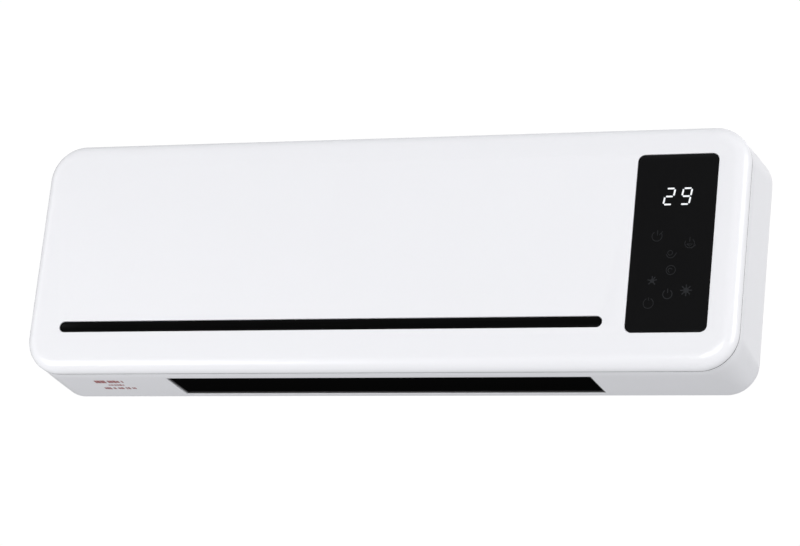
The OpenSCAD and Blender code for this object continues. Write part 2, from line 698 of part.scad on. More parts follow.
module flap_blade() color("black") {
    difference() {
        union() {
            box([-flap_half, flap_half], flap_y, [-half_h, -half_h + flap_t]);
            for (x = [-flap_half, -ear_t / 2, flap_half - ear_t]) {
                rod_x(hinge_y, hinge_z, 4, x, x + ear_t);
                box([x, x + ear_t], [hinge_y - 4, hinge_y + 3.5], [-half_h + flap_t / 2, hinge_z]);
            }
            rod_x(hinge_y, hinge_z, 1.5, -outlet_w / 2 + 0.1, -flap_half);
            rod_x(hinge_y, hinge_z, 2.8, flap_half, outlet_w / 2 - 0.1);
        }
        rod_x(hinge_y, hinge_z, shaft_r, flap_half - ear_t + 0.7, outlet_w / 2 + cut);
    }
    // stiffening rib along the inside of the blade
    box([-flap_half + ear_t + 4, flap_half - ear_t - 4], [-36.8, -35.6], [-half_h + flap_t, -half_h + flap_t + 2]);
}

stepper_z = hinge_z + 7.5;                // the stepper's can is above its output shaft

module flap_motor_shaft() color("silver") rod_x(hinge_y, hinge_z, shaft_r, flap_half - ear_t + 0.7, 170);

module flap_motor() color("silver") difference() {
    union() {
        rod_x(-16.5, stepper_z, 10, 164, 178);
        rod_x(hinge_y, hinge_z, 2.9, outlet_w / 2, 164);
        along_x(outlet_w / 2, outlet_w / 2 + 0.8) polygon([
            [-7.5, -59], [-13.5, -59], [-35, -68], [-35, -74], [-12, -80], [-7.5, -66]
        ]);
        box([outlet_w / 2 + 0.8, 164], [-20, -12], [stepper_z - 4, stepper_z + 4]);
    }
    rod_x(hinge_y, hinge_z, shaft_r + running, outlet_w / 2 - cut, 171);
    for (z = [-62, -71]) rod_x(z < -65 ? -32 : -10.5, z, 1.1, outlet_w / 2 - cut, outlet_w / 2 + 0.8 + cut);
}

module flap_motor_screws() color("silver") for (z = [-62, -71]) {
    y = z < -65 ? -32 : -10.5;
    rod_x(y, z, 2, outlet_w / 2 + 0.8, outlet_w / 2 + 2);
    rod_x(y, z, 1.05, nozzle_half + 0.1, outlet_w / 2 + 0.8);
}

// ---- electronics and wiring ------------------------------------------------------------------

module control_board() color("darkgreen") difference() {
    box(board_x, board_y, board_z);
    for (p = board_bosses) rod_y(p[0], p[1], 1.6, board_y[0] - cut, board_y[1] + cut);
}

module board_screws() color("silver") for (p = board_bosses) screw_y_back(p[0], p[1], board_y[0], 2.8, 1.6, 1.2, 7);

module power_relays() color("navy") for (z = [14, 36]) box([195, 210], [board_y[0] - 15, board_y[0]], [z, z + 19]);

module capacitors() color("darkslategray") {
    rod_y(232, 44, 5, board_y[0] - 16, board_y[0]);
    rod_y(220, 44, 4, board_y[0] - 12, board_y[0]);
    box([212, 230], [board_y[0] - 13, board_y[0]], [-10, -2]);
}

module power_module() color("black") box([214, 240], [board_y[0] - 16, board_y[0]], [4, 34]);

module terminal_block() color("green") difference() {
    box([192, 232], [board_y[0] - 12, board_y[0]], [-40, -28]);
    for (k = [0:4]) box([194.2 + 7.6 * k, 199.4 + 7.6 * k], [board_y[0] - 12 - cut, board_y[0] - 6], [-41, -36]);
}

module buzzer() color("black") difference() {
    rod_y(236, -14, 6, board_y[0] - 8, board_y[0]);
    rod_y(236, -14, 1, board_y[0] - 8 - cut, board_y[0] - 6);
}

// Both mains conductors run from the gland and the switch, below the front of the duct, to the terminals
module mains_wires() color("brown") {
    from_gland = [
        [-253, -28, -45], [-244, -31, -50], [-236, -44, -68], [-206, -53, -78],
        [176, -53, -78], [190, -44, -62], [196.8, -23, -50], [196.8, -23, -36.6]
    ];
    from_switch = [
        [-245.5, -28, -18], [-236, -30, -28], [-230, -46, -62], [-204, -53, -74],
        [176, -53, -74], [194, -44, -60], [204.4, -23, -50], [204.4, -23, -36.6]
    ];
    wire(from_gland, 1.3);
    wire(from_switch, 1.3);
}

module motor_wires() color("black") {
    from_coil = [
        [-200.6, -40, 60], [-212, -44, 52], [-218, -50, 10], [-214, -56, -60], [-200, -57.5, -71],
        [174, -57.5, -71], [198, -48, -56], [212, -23, -50], [212, -23, -36.6]
    ];
    wire(from_coil, 0.9);
}

// Flat ribbon between the two boards
module display_ribbon() color("lightgray") along_x(217, 235) {
    bends = [
        [display_y[1] + 0.1, -50], [-50, -51], [-42, -56], [-30, -54], [-20, -46], [board_y[0] - 0.1, -45]
    ];
    sheet_path(bends, 0.8);
}

front_cover();
trim_strip();
touch_glass();
touch_icons();
display_digits();
display_board();
display_module();
display_screws();
touch_springs();
remote_sensor();
rear_casing();
case_screws();
wall_bracket();
cord_gland();
gland_nut();
switch_housing();
switch_rocker();
intake_grille();
filter_frame();
filter_mesh();
scroll_back();
scroll_front();
duct_end_left();
duct_end_right();
duct_screws();
impeller_blades();
impeller_discs();
impeller_hubs();
impeller_stub_shaft();
motor_shaft();
motor_rotor();
motor_stack();
motor_coil();
motor_bridges();
motor_grommets();
motor_screws();
bearing_cup();
bearing_bush();
heater_fins();
heater_tubes();
heater_holders();
heater_terminals();
thermal_cutout();
thermal_fuse();
outlet_nozzle();
outlet_guard();
flap_blade();
flap_motor_shaft();
flap_motor();
flap_motor_screws();
control_board();
board_screws();
power_relays();
capacitors();
power_module();
terminal_block();
buzzer();
mains_wires();
motor_wires();
display_ribbon();
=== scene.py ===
"""Looks of a wall-mounted fan convector heater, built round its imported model.

Lengths inside the classes are in millimetres, in the frame of the model: X across the wall,
Y into the wall, Z up. They become metres when a mesh is made.
"""

import functools
import json
import logging
import math
import random
from dataclasses import dataclass
from enum import Enum
from typing import Callable, Iterable, Sequence, Union

import bmesh
import bpy
from mathutils import Matrix, Vector
from mathutils.geometry import tessellate_polygon


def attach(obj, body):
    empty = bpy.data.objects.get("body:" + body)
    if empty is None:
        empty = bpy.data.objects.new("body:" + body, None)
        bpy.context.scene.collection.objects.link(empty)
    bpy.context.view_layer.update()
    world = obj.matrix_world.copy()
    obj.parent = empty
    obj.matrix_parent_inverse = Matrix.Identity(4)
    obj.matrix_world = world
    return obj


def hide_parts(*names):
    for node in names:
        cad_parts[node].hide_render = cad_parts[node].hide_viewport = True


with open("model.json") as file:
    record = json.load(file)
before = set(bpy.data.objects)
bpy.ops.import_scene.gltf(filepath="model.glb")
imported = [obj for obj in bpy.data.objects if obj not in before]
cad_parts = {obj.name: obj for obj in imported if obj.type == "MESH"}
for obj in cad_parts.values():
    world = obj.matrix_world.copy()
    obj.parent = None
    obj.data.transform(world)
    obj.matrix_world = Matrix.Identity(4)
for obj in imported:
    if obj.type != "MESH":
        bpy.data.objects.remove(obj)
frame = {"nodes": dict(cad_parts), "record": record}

MM = 0.001
Flat = tuple[float, float]
Point = tuple[float, float, float]
Colour = tuple[float, float, float]
Socket = bpy.types.NodeSocket
log = logging.getLogger("heater")


# ---- finishes -------------------------------------------------------------------------------


class Grain(Enum):
    """What a finish shows when it is looked at closely."""

    MOULDED = "fine moulded texture"
    BRUSHED = "streaks along X"
    ROLLED = "streaks along Z"
    LAMINATED = "stacked sheets across X"
    WOUND = "turns of wire"
    SPECKLED = "short fibres"
    TRACKS = "copper tracks under lacquer"
    WOVEN = "threads"
    SPANGLED = "zinc crystals"


@dataclass(frozen=True)
class Finish:
    """One procedural finish. The model's nodes take theirs by the name of their slot in the record."""

    name: str
    colour: Colour
    roughness: float = 0.4
    metallic: float = 0.0
    specular: float = 0.5
    grain: Grain = Grain.MOULDED
    grain_size: float = 0.6
    grain_depth: float = 0.01
    shade: float = 0.04
    coat: float = 0.0
    glow: float = 0.0
    wear: float = 0.0
    slot: str = ""

    @functools.cache
    def material(self) -> bpy.types.Material:
        """The finish's material, made once.

        Returns:
            The material.
        """
        made = bpy.data.materials.new(self.name)
        made.use_nodes = True
        made.diffuse_color = (*self.colour, 1.0)
        NodeDesk(made.node_tree).lay(self)
        return made


class NodeDesk:
    """Lays nodes in the tree of a material or of the world."""

    def __init__(self, tree: bpy.types.NodeTree) -> None:
        """Empties the tree."""
        self.tree = tree
        tree.nodes.clear()

    def node(self, kind: str, **values: object) -> bpy.types.Node:
        """Adds a node.

        Args:
            kind: the node's type.
            values: its inputs by name with _ for a space, or its own settings.

        Returns:
            The node.
        """
        made = self.tree.nodes.new(kind)
        for key, value in values.items():
            if hasattr(made, key):
                setattr(made, key, value)
            else:
                made.inputs[key.replace("_", " ")].default_value = value
        return made

    def link(self, source: Socket, target: Socket) -> None:
        """Joins two sockets."""
        self.tree.links.new(source, target)

    def sum(self, operation: str, *terms: Union[Socket, float]) -> Socket:
        """Works out a number from others.

        Args:
            operation: what is done with them.
            terms: the numbers, or the sockets that give them.

        Returns:
            The socket with the result.
        """
        made = self.node("ShaderNodeMath", operation=operation)
        for place, term in zip(made.inputs, terms):
            if isinstance(term, float):
                place.default_value = term
            else:
                self.link(term, place)
        return made.outputs[0]

    def fade(self, value: Socket, span: Flat, ends: Flat, how: str = "SMOOTHSTEP") -> Socket:
        """Passes from one number to another as a value crosses a span.

        Args:
            value: the socket to follow.
            span: where the change starts and ends.
            ends: the numbers before and after it.
            how: SMOOTHSTEP or LINEAR.

        Returns:
            The socket with the number.
        """
        made = self.node("ShaderNodeMapRange", interpolation_type=how)
        for key, number in zip(("From Min", "From Max", "To Min", "To Max"), (*span, *ends)):
            made.inputs[key].default_value = number
        self.link(value, made.inputs["Value"])
        return made.outputs["Result"]

    def texture(self, kind: str, stretch: Point = (1.0, 1.0, 1.0), **values: object) -> bpy.types.Node:
        """Lays a texture over the object, whose points are in metres.

        Args:
            kind: the texture node's type.
            stretch: a factor for each axis.
            values: its inputs and settings.

        Returns:
            The texture's node.
        """
        where = self.node("ShaderNodeTexCoord")
        scaled = self.node("ShaderNodeMapping", Scale=stretch)
        made = self.node(kind, **values)
        self.link(where.outputs["Object"], scaled.inputs["Vector"])
        self.link(scaled.outputs["Vector"], made.inputs["Vector"])
        return made

    def noise(self, scale: float, stretch: Point = (1.0, 1.0, 1.0), detail: float = 4.0) -> Socket:
        """Noise over the object, as a number from 0 to 1."""
        made = self.texture("ShaderNodeTexNoise", stretch, Scale=scale, Detail=detail, Roughness=0.55)
        return made.outputs["Fac"]

    def pattern(self, finish: Finish) -> Socket:
        """The height pattern of a finish's grain.

        Args:
            finish: the finish.

        Returns:
            The socket with the height, 0 to 1.
        """
        scale = 1.0 / MM / finish.grain_size
        noises = {
            Grain.MOULDED: ((1.0, 1.0, 1.0), 2.0),
            Grain.BRUSHED: ((0.03, 1.0, 1.0), 4.0),
            Grain.ROLLED: ((1.0, 1.0, 0.03), 4.0),
            Grain.SPECKLED: ((0.4, 1.0, 1.0), 6.0),
        }
        if finish.grain in noises:
            return self.noise(scale, *noises[finish.grain])
        if finish.grain is Grain.SPANGLED:
            cells = self.texture("ShaderNodeTexVoronoi", Scale=scale, Randomness=1.0)
            split = self.node("ShaderNodeSeparateColor")
            self.link(cells.outputs["Color"], split.inputs["Color"])
            return split.outputs[0]
        if finish.grain is Grain.WOVEN:
            made = self.texture("ShaderNodeTexChecker", Scale=scale)
        elif finish.grain is Grain.TRACKS:
            made = self.texture("ShaderNodeTexBrick", Scale=scale, Mortar_Size=0.035, offset=0.37)
        else:
            # a wave at this scale repeats about every two grain sizes
            made = self.texture("ShaderNodeTexWave", Scale=scale / 6.3, Distortion=0.4, Detail=1.0)
            made.bands_direction = "X" if finish.grain is Grain.LAMINATED else "Z"
        return made.outputs["Fac"]

    def lay(self, finish: Finish) -> None:
        """Lays all the nodes of a finish.

        Args:
            finish: the finish.
        """
        shader = self.node(
            "ShaderNodeBsdfPrincipled", Metallic=finish.metallic, Specular_IOR_Level=finish.specular,
            Coat_Weight=finish.coat, Coat_Roughness=0.06,
        )
        out = self.node("ShaderNodeOutputMaterial")
        self.link(shader.outputs["BSDF"], out.inputs["Surface"])
        if finish.glow > 0.0:
            shader.inputs["Emission Color"].default_value = (*finish.colour, 1.0)
            shader.inputs["Emission Strength"].default_value = finish.glow
        height = self.pattern(finish)
        cloud = self.noise(14.0)
        # the grain and a broad cloud both shade the colour a little
        mixed = self.sum("MULTIPLY_ADD", height, 0.5, self.sum("MULTIPLY", cloud, 0.5))
        ramp = self.node("ShaderNodeValToRGB")
        steps = ((0.3, 1.0 - finish.shade), (0.7, 1.0 + finish.shade))
        for element, (position, factor) in zip(ramp.color_ramp.elements, steps):
            element.position = position
            element.color = (*(min(1.0, c * factor) for c in finish.colour), 1.0)
        self.link(mixed, ramp.inputs["Fac"])
        self.link(self.worn(finish, ramp.outputs["Color"]), shader.inputs["Base Color"])
        range_of = (finish.roughness * 0.93, finish.roughness * 1.07)
        self.link(self.fade(cloud, (0.3, 0.7), range_of, "LINEAR"), shader.inputs["Roughness"])
        bump = self.node("ShaderNodeBump", Strength=0.35, Distance=finish.grain_depth * MM)
        self.link(height, bump.inputs["Height"])
        self.link(bump.outputs["Normal"], shader.inputs["Normal"])

    def worn(self, finish: Finish, colour: Socket) -> Socket:
        """Lightens the sharp edges of a finish that wears.

        Args:
            finish: the finish.
            colour: the socket with its colour.

        Returns:
            The socket with the colour, worn where the surface turns sharply.
        """
        if finish.wear <= 0.0:
            return colour
        shape = self.node("ShaderNodeNewGeometry")
        edge = self.fade(shape.outputs["Pointiness"], (0.53, 0.62), (0.0, finish.wear), "LINEAR")
        mix = self.node("ShaderNodeMix", data_type="RGBA")
        pale = tuple(min(1.0, c * 1.5 + 0.04) for c in finish.colour)
        mix.inputs[7].default_value = (*pale, 1.0)
        self.link(edge, mix.inputs[0])
        self.link(colour, mix.inputs[6])
        return mix.outputs[2]


FINISHES: dict[str, Finish] = {
    made.name: made
    for made in (
        Finish("white_gloss", (0.86, 0.86, 0.885), 0.2, grain_size=1.4, grain_depth=0.004, shade=0.006),
        Finish("white_casing", (0.80, 0.80, 0.825), 0.3, grain_size=0.7, grain_depth=0.006, shade=0.008),
        Finish("black_gloss", (0.003, 0.003, 0.003), 0.12, specular=0.12, grain_size=1.5, grain_depth=0.003),
        Finish(
            "black_glass", (0.0075, 0.0075, 0.0078), 0.07,
            specular=0.12, grain_size=8.0, grain_depth=0.002,
        ),
        Finish("grey_print", (0.022, 0.023, 0.025), 0.3, specular=0.2, grain_size=0.2),
        Finish("display_light", (0.80, 0.82, 0.84), 0.4, glow=0.25, grain_size=0.3),
        Finish(
            "board_green", (0.02, 0.16, 0.07), 0.3,
            grain=Grain.TRACKS, grain_size=6.0, grain_depth=0.035, shade=0.5, coat=0.3,
        ),
        Finish("dark_plastic", (0.055, 0.055, 0.06), 0.5, grain_size=0.35, grain_depth=0.02, shade=0.1),
        Finish("black_plastic", (0.02, 0.02, 0.022), 0.45, grain_size=0.3, grain_depth=0.02, shade=0.12),
        Finish(
            "zinc_steel", (0.62, 0.63, 0.64), 0.34, 1.0,
            grain=Grain.SPANGLED, grain_size=7.0, grain_depth=0.01, shade=0.12,
        ),
        Finish(
            "bright_steel", (0.66, 0.66, 0.67), 0.2, 1.0,
            grain=Grain.BRUSHED, grain_size=0.4, grain_depth=0.01, shade=0.06,
        ),
        Finish(
            "lamination_steel", (0.26, 0.26, 0.28), 0.45, 0.9,
            grain=Grain.LAMINATED, grain_size=0.5, grain_depth=0.1, shade=0.3,
        ),
        Finish("rocker_red", (0.50, 0.015, 0.015), 0.22, grain_size=0.8, grain_depth=0.006, wear=0.2),
        Finish(
            "filter_cloth", (0.035, 0.035, 0.04), 0.7,
            grain=Grain.WOVEN, grain_size=0.5, grain_depth=0.05,
        ),
        Finish(
            "winding_tape", (0.52, 0.28, 0.06), 0.42,
            grain=Grain.WOUND, grain_size=0.8, grain_depth=0.12, shade=0.22,
        ),
        Finish("black_rubber", (0.018, 0.018, 0.018), 0.62, grain_size=0.4, grain_depth=0.03, shade=0.15),
        Finish("bronze", (0.58, 0.36, 0.14), 0.3, 1.0, grain_size=0.25, grain_depth=0.02, shade=0.12),
        Finish(
            "heater_aluminium", (0.74, 0.75, 0.76), 0.28, 1.0,
            grain=Grain.ROLLED, grain_size=0.5, grain_depth=0.01, shade=0.08,
        ),
        Finish(
            "heat_proof_plastic", (0.016, 0.016, 0.017), 0.4,
            grain=Grain.SPECKLED, grain_size=0.3, grain_depth=0.015, shade=0.2,
        ),
        Finish("fuse_ceramic", (0.66, 0.58, 0.42), 0.25, grain_size=1.2, grain_depth=0.01, coat=0.4),
        Finish("dark_wire", (0.02, 0.02, 0.02), 0.3, grain_size=0.6, grain_depth=0.02, coat=0.3),
        Finish("relay_blue", (0.012, 0.05, 0.24), 0.32, grain_size=0.5, grain_depth=0.012, wear=0.3),
        Finish("capacitor_sleeve", (0.015, 0.022, 0.035), 0.25, grain_size=1.2, grain_depth=0.02, coat=0.3),
        Finish("terminal_green", (0.02, 0.26, 0.09), 0.38, grain_size=0.5, grain_depth=0.012, wear=0.3),
        Finish("wire_brown", (0.16, 0.05, 0.02), 0.42, grain_size=0.8, grain_depth=0.01),
        Finish("wire_black", (0.015, 0.015, 0.015), 0.42, grain_size=0.8, grain_depth=0.01),
        Finish(
            "ribbon_grey", (0.42, 0.42, 0.44), 0.4,
            grain=Grain.LAMINATED, grain_size=1.27, grain_depth=0.15, shade=0.12,
        ),
        # painted shade: the dark grey of the ring that stands for the shadow in the cover's rim groove
        Finish("painted_groove_shade", (0.2, 0.2, 0.21), 0.6, specular=0.1, grain_size=0.5, slot="white_gloss"),
        Finish(
            "flap_black", (0.0025, 0.0025, 0.0025), 0.4,
            specular=0.0, grain_size=0.8, grain_depth=0.004, slot="black_gloss",
        ),
        Finish("caution_red", (0.26, 0.008, 0.008), 0.45, grain_size=0.2, shade=0.2),
        Finish("floor_pale", (0.95, 0.95, 0.95), 0.7, specular=0.1, grain_size=30.0, shade=0.004),
    )
}


# ---- drawing --------------------------------------------------------------------------------


def arc(radius: float, start: float, end: float, steps: int, centre: Flat = (0.0, 0.0)) -> list[Flat]:
    """Points along an arc.

    Args:
        radius: its radius.
        start: the angle where it starts, in degrees.
        end: the angle where it ends.
        steps: how many chords it has.
        centre: its centre.

    Returns:
        The points, one more than the chords.
    """
    turns = [math.radians(start + (end - start) * k / steps) for k in range(steps + 1)]
    return [(centre[0] + radius * math.cos(a), centre[1] + radius * math.sin(a)) for a in turns]


@dataclass(frozen=True)
class Outline:
    """A rounded rectangle in a plane."""

    width: float
    height: float
    radius: float
    centre: Flat = (0.0, 0.0)
    steps: int = 10

    def points(self, grow: float = 0.0) -> list[Flat]:
        """Its points, anticlockwise.

        Args:
            grow: how far the outline is moved outwards.

        Returns:
            The points, always the same number.
        """
        half_w, half_h = self.width / 2 + grow, self.height / 2 + grow
        r = min(max(self.radius + grow, 0.02), half_w, half_h)
        made = []
        for turn, (sx, sy) in enumerate(((1, 1), (-1, 1), (-1, -1), (1, -1))):
            corner = (self.centre[0] + sx * (half_w - r), self.centre[1] + sy * (half_h - r))
            made += arc(r, 90 * turn, 90 * (turn + 1), self.steps, corner)
        return made


def on_x(points: Iterable[Flat], x: float) -> list[Point]:
    """Stands [y, z] points at a place across."""
    return [(x, y, z) for y, z in points]


def on_y(points: Iterable[Flat], y: float) -> list[Point]:
    """Stands [x, z] points at a depth."""
    return [(x, y, z) for x, z in points]


def on_z(points: Iterable[Flat], z: float) -> list[Point]:
    """Lays [x, y] points at a height."""
    return [(x, y, z) for x, y in points]


class Sketch:
    """A mesh in the making: rings of points and the faces between them."""

    def __init__(self) -> None:
        """Starts empty."""
        self.points: list[Point] = []
        self.faces: list[tuple[int, ...]] = []

    def ring(self, points: Iterable[Point]) -> list[int]:
        """Adds points.

        Args:
            points: the points, in order.

        Returns:
            Their places in the mesh.
        """
        start = len(self.points)
        self.points.extend(points)
        return list(range(start, len(self.points)))

    def bridge(self, one: Sequence[int], other: Sequence[int]) -> None:
        """Joins two closed rings of the same length with four-sided faces."""
        n = len(one)
        self.faces.extend((one[k], one[(k + 1) % n], other[(k + 1) % n], other[k]) for k in range(n))

    def cap(self, ring: Sequence[int]) -> None:
        """Closes a flat ring with one face."""
        self.faces.append(tuple(ring))

    def chain(self, rings: Sequence[Iterable[Point]]) -> list[list[int]]:
        """Adds closed rings and joins each to the next.

        Args:
            rings: the rings' points.

        Returns:
            The rings' places in the mesh.
        """
        made = [self.ring(r) for r in rings]
        for one, other in zip(made, made[1:]):
            self.bridge(one, other)
        return made

    def solid(self, rings: Sequence[Iterable[Point]]) -> None:
        """Adds a chain of rings, closed at both ends.

        Args:
            rings: the rings' points.
        """
        made = self.chain(rings)
        self.cap(made[0])
        self.cap(made[-1])

    def hoop(self, rings: Sequence[Iterable[Point]]) -> None:
        """Adds a chain of rings, with the last joined to the first."""
        made = self.chain(rings)
        self.bridge(made[-1], made[0])

    def sheet(self, outline: Sequence[int], holes: Sequence[Sequence[int]]) -> None:
        """Fills a flat outline, leaving its holes open.

        Args:
            outline: the outer ring.
            holes: the rings of the holes.
        """
        rings = [list(outline), *[list(h) for h in holes]]
        places = [k for ring in rings for k in ring]
        triangles = tessellate_polygon([[Vector(self.points[k]) for k in ring] for ring in rings])
        self.faces.extend(tuple(places[k] for k in triangle) for triangle in triangles)

    def tube(self, path: Sequence[Point], radius: float, sides: int = 10) -> None:
        """Adds a round tube with closed ends.

        Args:
            path: the points it follows.
            radius: its radius.
            sides: how many sides it has.
        """
        spine = [Vector(p) for p in path]
        side = (spine[1] - spine[0]).normalized().orthogonal().normalized()
        rings = []
        for k, p in enumerate(spine):
            along = (spine[min(k + 1, len(spine) - 1)] - spine[max(k - 1, 0)]).normalized()
            side = (side - along * side.dot(along)).normalized()
            other = along.cross(side)
            turns = [2 * math.pi * s / sides for s in range(sides)]
            rings.append([tuple(p + radius * (math.cos(a) * side + math.sin(a) * other)) for a in turns])
        self.solid(rings)

    def block(self, low: Point, high: Point) -> None:
        """Adds a box with sharp edges."""
        corners = [(low[0], low[1]), (high[0], low[1]), (high[0], high[1]), (low[0], high[1])]
        self.solid([on_z(corners, low[2]), on_z(corners, high[2])])

    def mesh(self, name: str) -> bpy.types.Mesh:
        """The finished mesh, in metres, closed and facing outwards.

        Args:
            name: the mesh's name.

        Returns:
            The mesh.
        """
        made = bpy.data.meshes.new(name)
        made.from_pydata([tuple(c * MM for c in p) for p in self.points], [], self.faces)
        work = bmesh.new()
        work.from_mesh(made)
        bmesh.ops.remove_doubles(work, verts=work.verts, dist=2e-6)
        bmesh.ops.dissolve_degenerate(work, edges=work.edges, dist=1e-6)
        bmesh.ops.recalc_face_normals(work, faces=work.faces)
        work.to_mesh(made)
        work.free()
        return made


def plate(
    outline: Outline, holes: Sequence[Outline], low: float, high: float, edge: float, stand: Callable
) -> Sketch:
    """A flat plate with rounded edges and holes.

    Args:
        outline: its outline.
        holes: its holes.
        low: its lower face.
        high: its upper face.
        edge: the radius of its edges.
        stand: how its points stand in space: on_x, on_y or on_z.

    Returns:
        The sketch of the plate.
    """
    turns = [math.radians(a) for a in (90, 60, 30, 0)]
    levels = [(edge * (math.cos(a) - 1), high - edge * (1 - math.sin(a))) for a in turns]
    levels += [(grow, low + high - level) for grow, level in reversed(levels)]
    made = Sketch()
    outer = made.chain([stand(outline.points(grow), level) for grow, level in levels])
    inner = [made.chain([stand(h.points(-grow), level) for grow, level in levels]) for h in holes]
    made.sheet(outer[0], [rings[0] for rings in inner])
    made.sheet(outer[-1], [rings[-1] for rings in inner])
    return made


def lathe_x(profile: Sequence[Flat], axis: Flat, sides: int) -> Sketch:
    """A turned piece about an axis along X.

    Args:
        profile: its closed outline as [x, radius].
        axis: the axis's depth and height.
        sides: how many sides it has.

    Returns:
        The sketch of the piece.
    """
    made = Sketch()
    made.hoop([on_x(arc(r, 0, 360, sides, axis)[:-1], x) for x, r in profile])
    return made


def curve_through(knots: Sequence[Point], per_span: int = 6, stiffness: float = 14.0) -> list[Point]:
    """A smooth path through knots.

    Args:
        knots: the points it passes.
        per_span: how many points it has from knot to knot.
        stiffness: the most that it leads straight on from a knot.

    Returns:
        The path's points.
    """
    spine = [Vector(k) for k in knots]
    made: list[Point] = []
    for i in range(len(spine) - 1):
        a, b = spine[max(i - 1, 0)], spine[i]
        c, d = spine[i + 1], spine[min(i + 2, len(spine) - 1)]
        reach = min((c - b).length, stiffness)
        lead = (c - a).normalized() * reach if i > 0 else c - b
        trail = (d - b).normalized() * reach if i + 2 < len(spine) else c - b
        for t in (k / per_span for k in range(per_span)):
            p = (2 * t**3 - 3 * t**2 + 1) * b + (t**3 - 2 * t**2 + t) * lead
            p += (3 * t**2 - 2 * t**3) * c + (t**3 - t**2) * trail
            made.append(tuple(p))
    made.append(tuple(spine[-1]))
    return made


# ---- pieces ---------------------------------------------------------------------------------


class Carving(Enum):
    """What a tool does to a piece."""

    CUT = "DIFFERENCE"
    JOIN = "UNION"


class Piece:
    """Places one mesh and dresses it."""

    def __init__(self, name: str, sketch: Sketch, finish: str, body: str = "casing") -> None:
        """Makes the object.

        Args:
            name: the piece's name.
            sketch: its shape.
            finish: its finish's name.
            body: the moving body it belongs to.
        """
        self.object = bpy.data.objects.new(name, sketch.mesh(name))
        bpy.context.scene.collection.objects.link(self.object)
        self.object.data.materials.append(FINISHES[finish].material())
        self.smooth(35.0)
        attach(self.object, body)

    def smooth(self, angle: float) -> "Piece":
        """Shades it smooth except at sharp edges.

        Args:
            angle: the least angle that stays sharp, in degrees.

        Returns:
            This piece.
        """
        mesh = self.object.data
        mesh.polygons.foreach_set("use_smooth", [True] * len(mesh.polygons))
        mesh.set_sharp_from_angle(angle=math.radians(angle))
        return self

    def carve(self, tool: Sketch, how: Carving = Carving.CUT) -> None:
        """Cuts a shape out of the piece, or joins it on.

        Args:
            tool: the shape.
            how: whether it is cut or joined.
        """
        helper = bpy.data.objects.new("tool", tool.mesh("tool"))
        bpy.context.scene.collection.objects.link(helper)
        step = self.object.modifiers.new("cut", "BOOLEAN")
        step.operation, step.object, step.solver = how.value, helper, "EXACT"
        ready = self.object.evaluated_get(bpy.context.evaluated_depsgraph_get())
        mesh = bpy.data.meshes.new_from_object(ready)
        self.object.modifiers.clear()
        old, self.object.data = self.object.data, mesh
        mesh.name = old.name
        used = helper.data
        bpy.data.objects.remove(helper)
        for spent in (old, used):
            bpy.data.meshes.remove(spent)

    def stands_for(self, *nodes: str) -> "Piece":
        """Hides the model's nodes that this piece stands for."""
        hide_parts(*nodes)
        return self


def round_edges(thing: bpy.types.Object, width: float) -> None:
    """Rounds an object's sharp edges with a modifier, so that its own mesh stays.

    Args:
        thing: the object.
        width: how far from the edge the rounding starts.
    """
    step = thing.modifiers.new("edges", "BEVEL")
    step.width, step.segments = width * MM, 2
    step.limit_method, step.angle_limit = "ANGLE", math.radians(50)
    step.harden_normals = True


# ---- front cover ----------------------------------------------------------------------------


@dataclass
class Shell:
    """What the cover and the casing share: the heater's outline."""

    width: float = 540.0
    height: float = 177.0
    corner: float = 27.0

    def around(self, inset: float, y: float, corner_loss: float = 0.0) -> list[Point]:
        """The heater's outline at a depth.

        Args:
            inset: how far it is moved inwards.
            y: the depth.
            corner_loss: how much smaller its corners are.

        Returns:
            Its points.
        """
        outline = Outline(self.width, self.height, self.corner - corner_loss, steps=20)
        return on_y(outline.points(-inset), y)


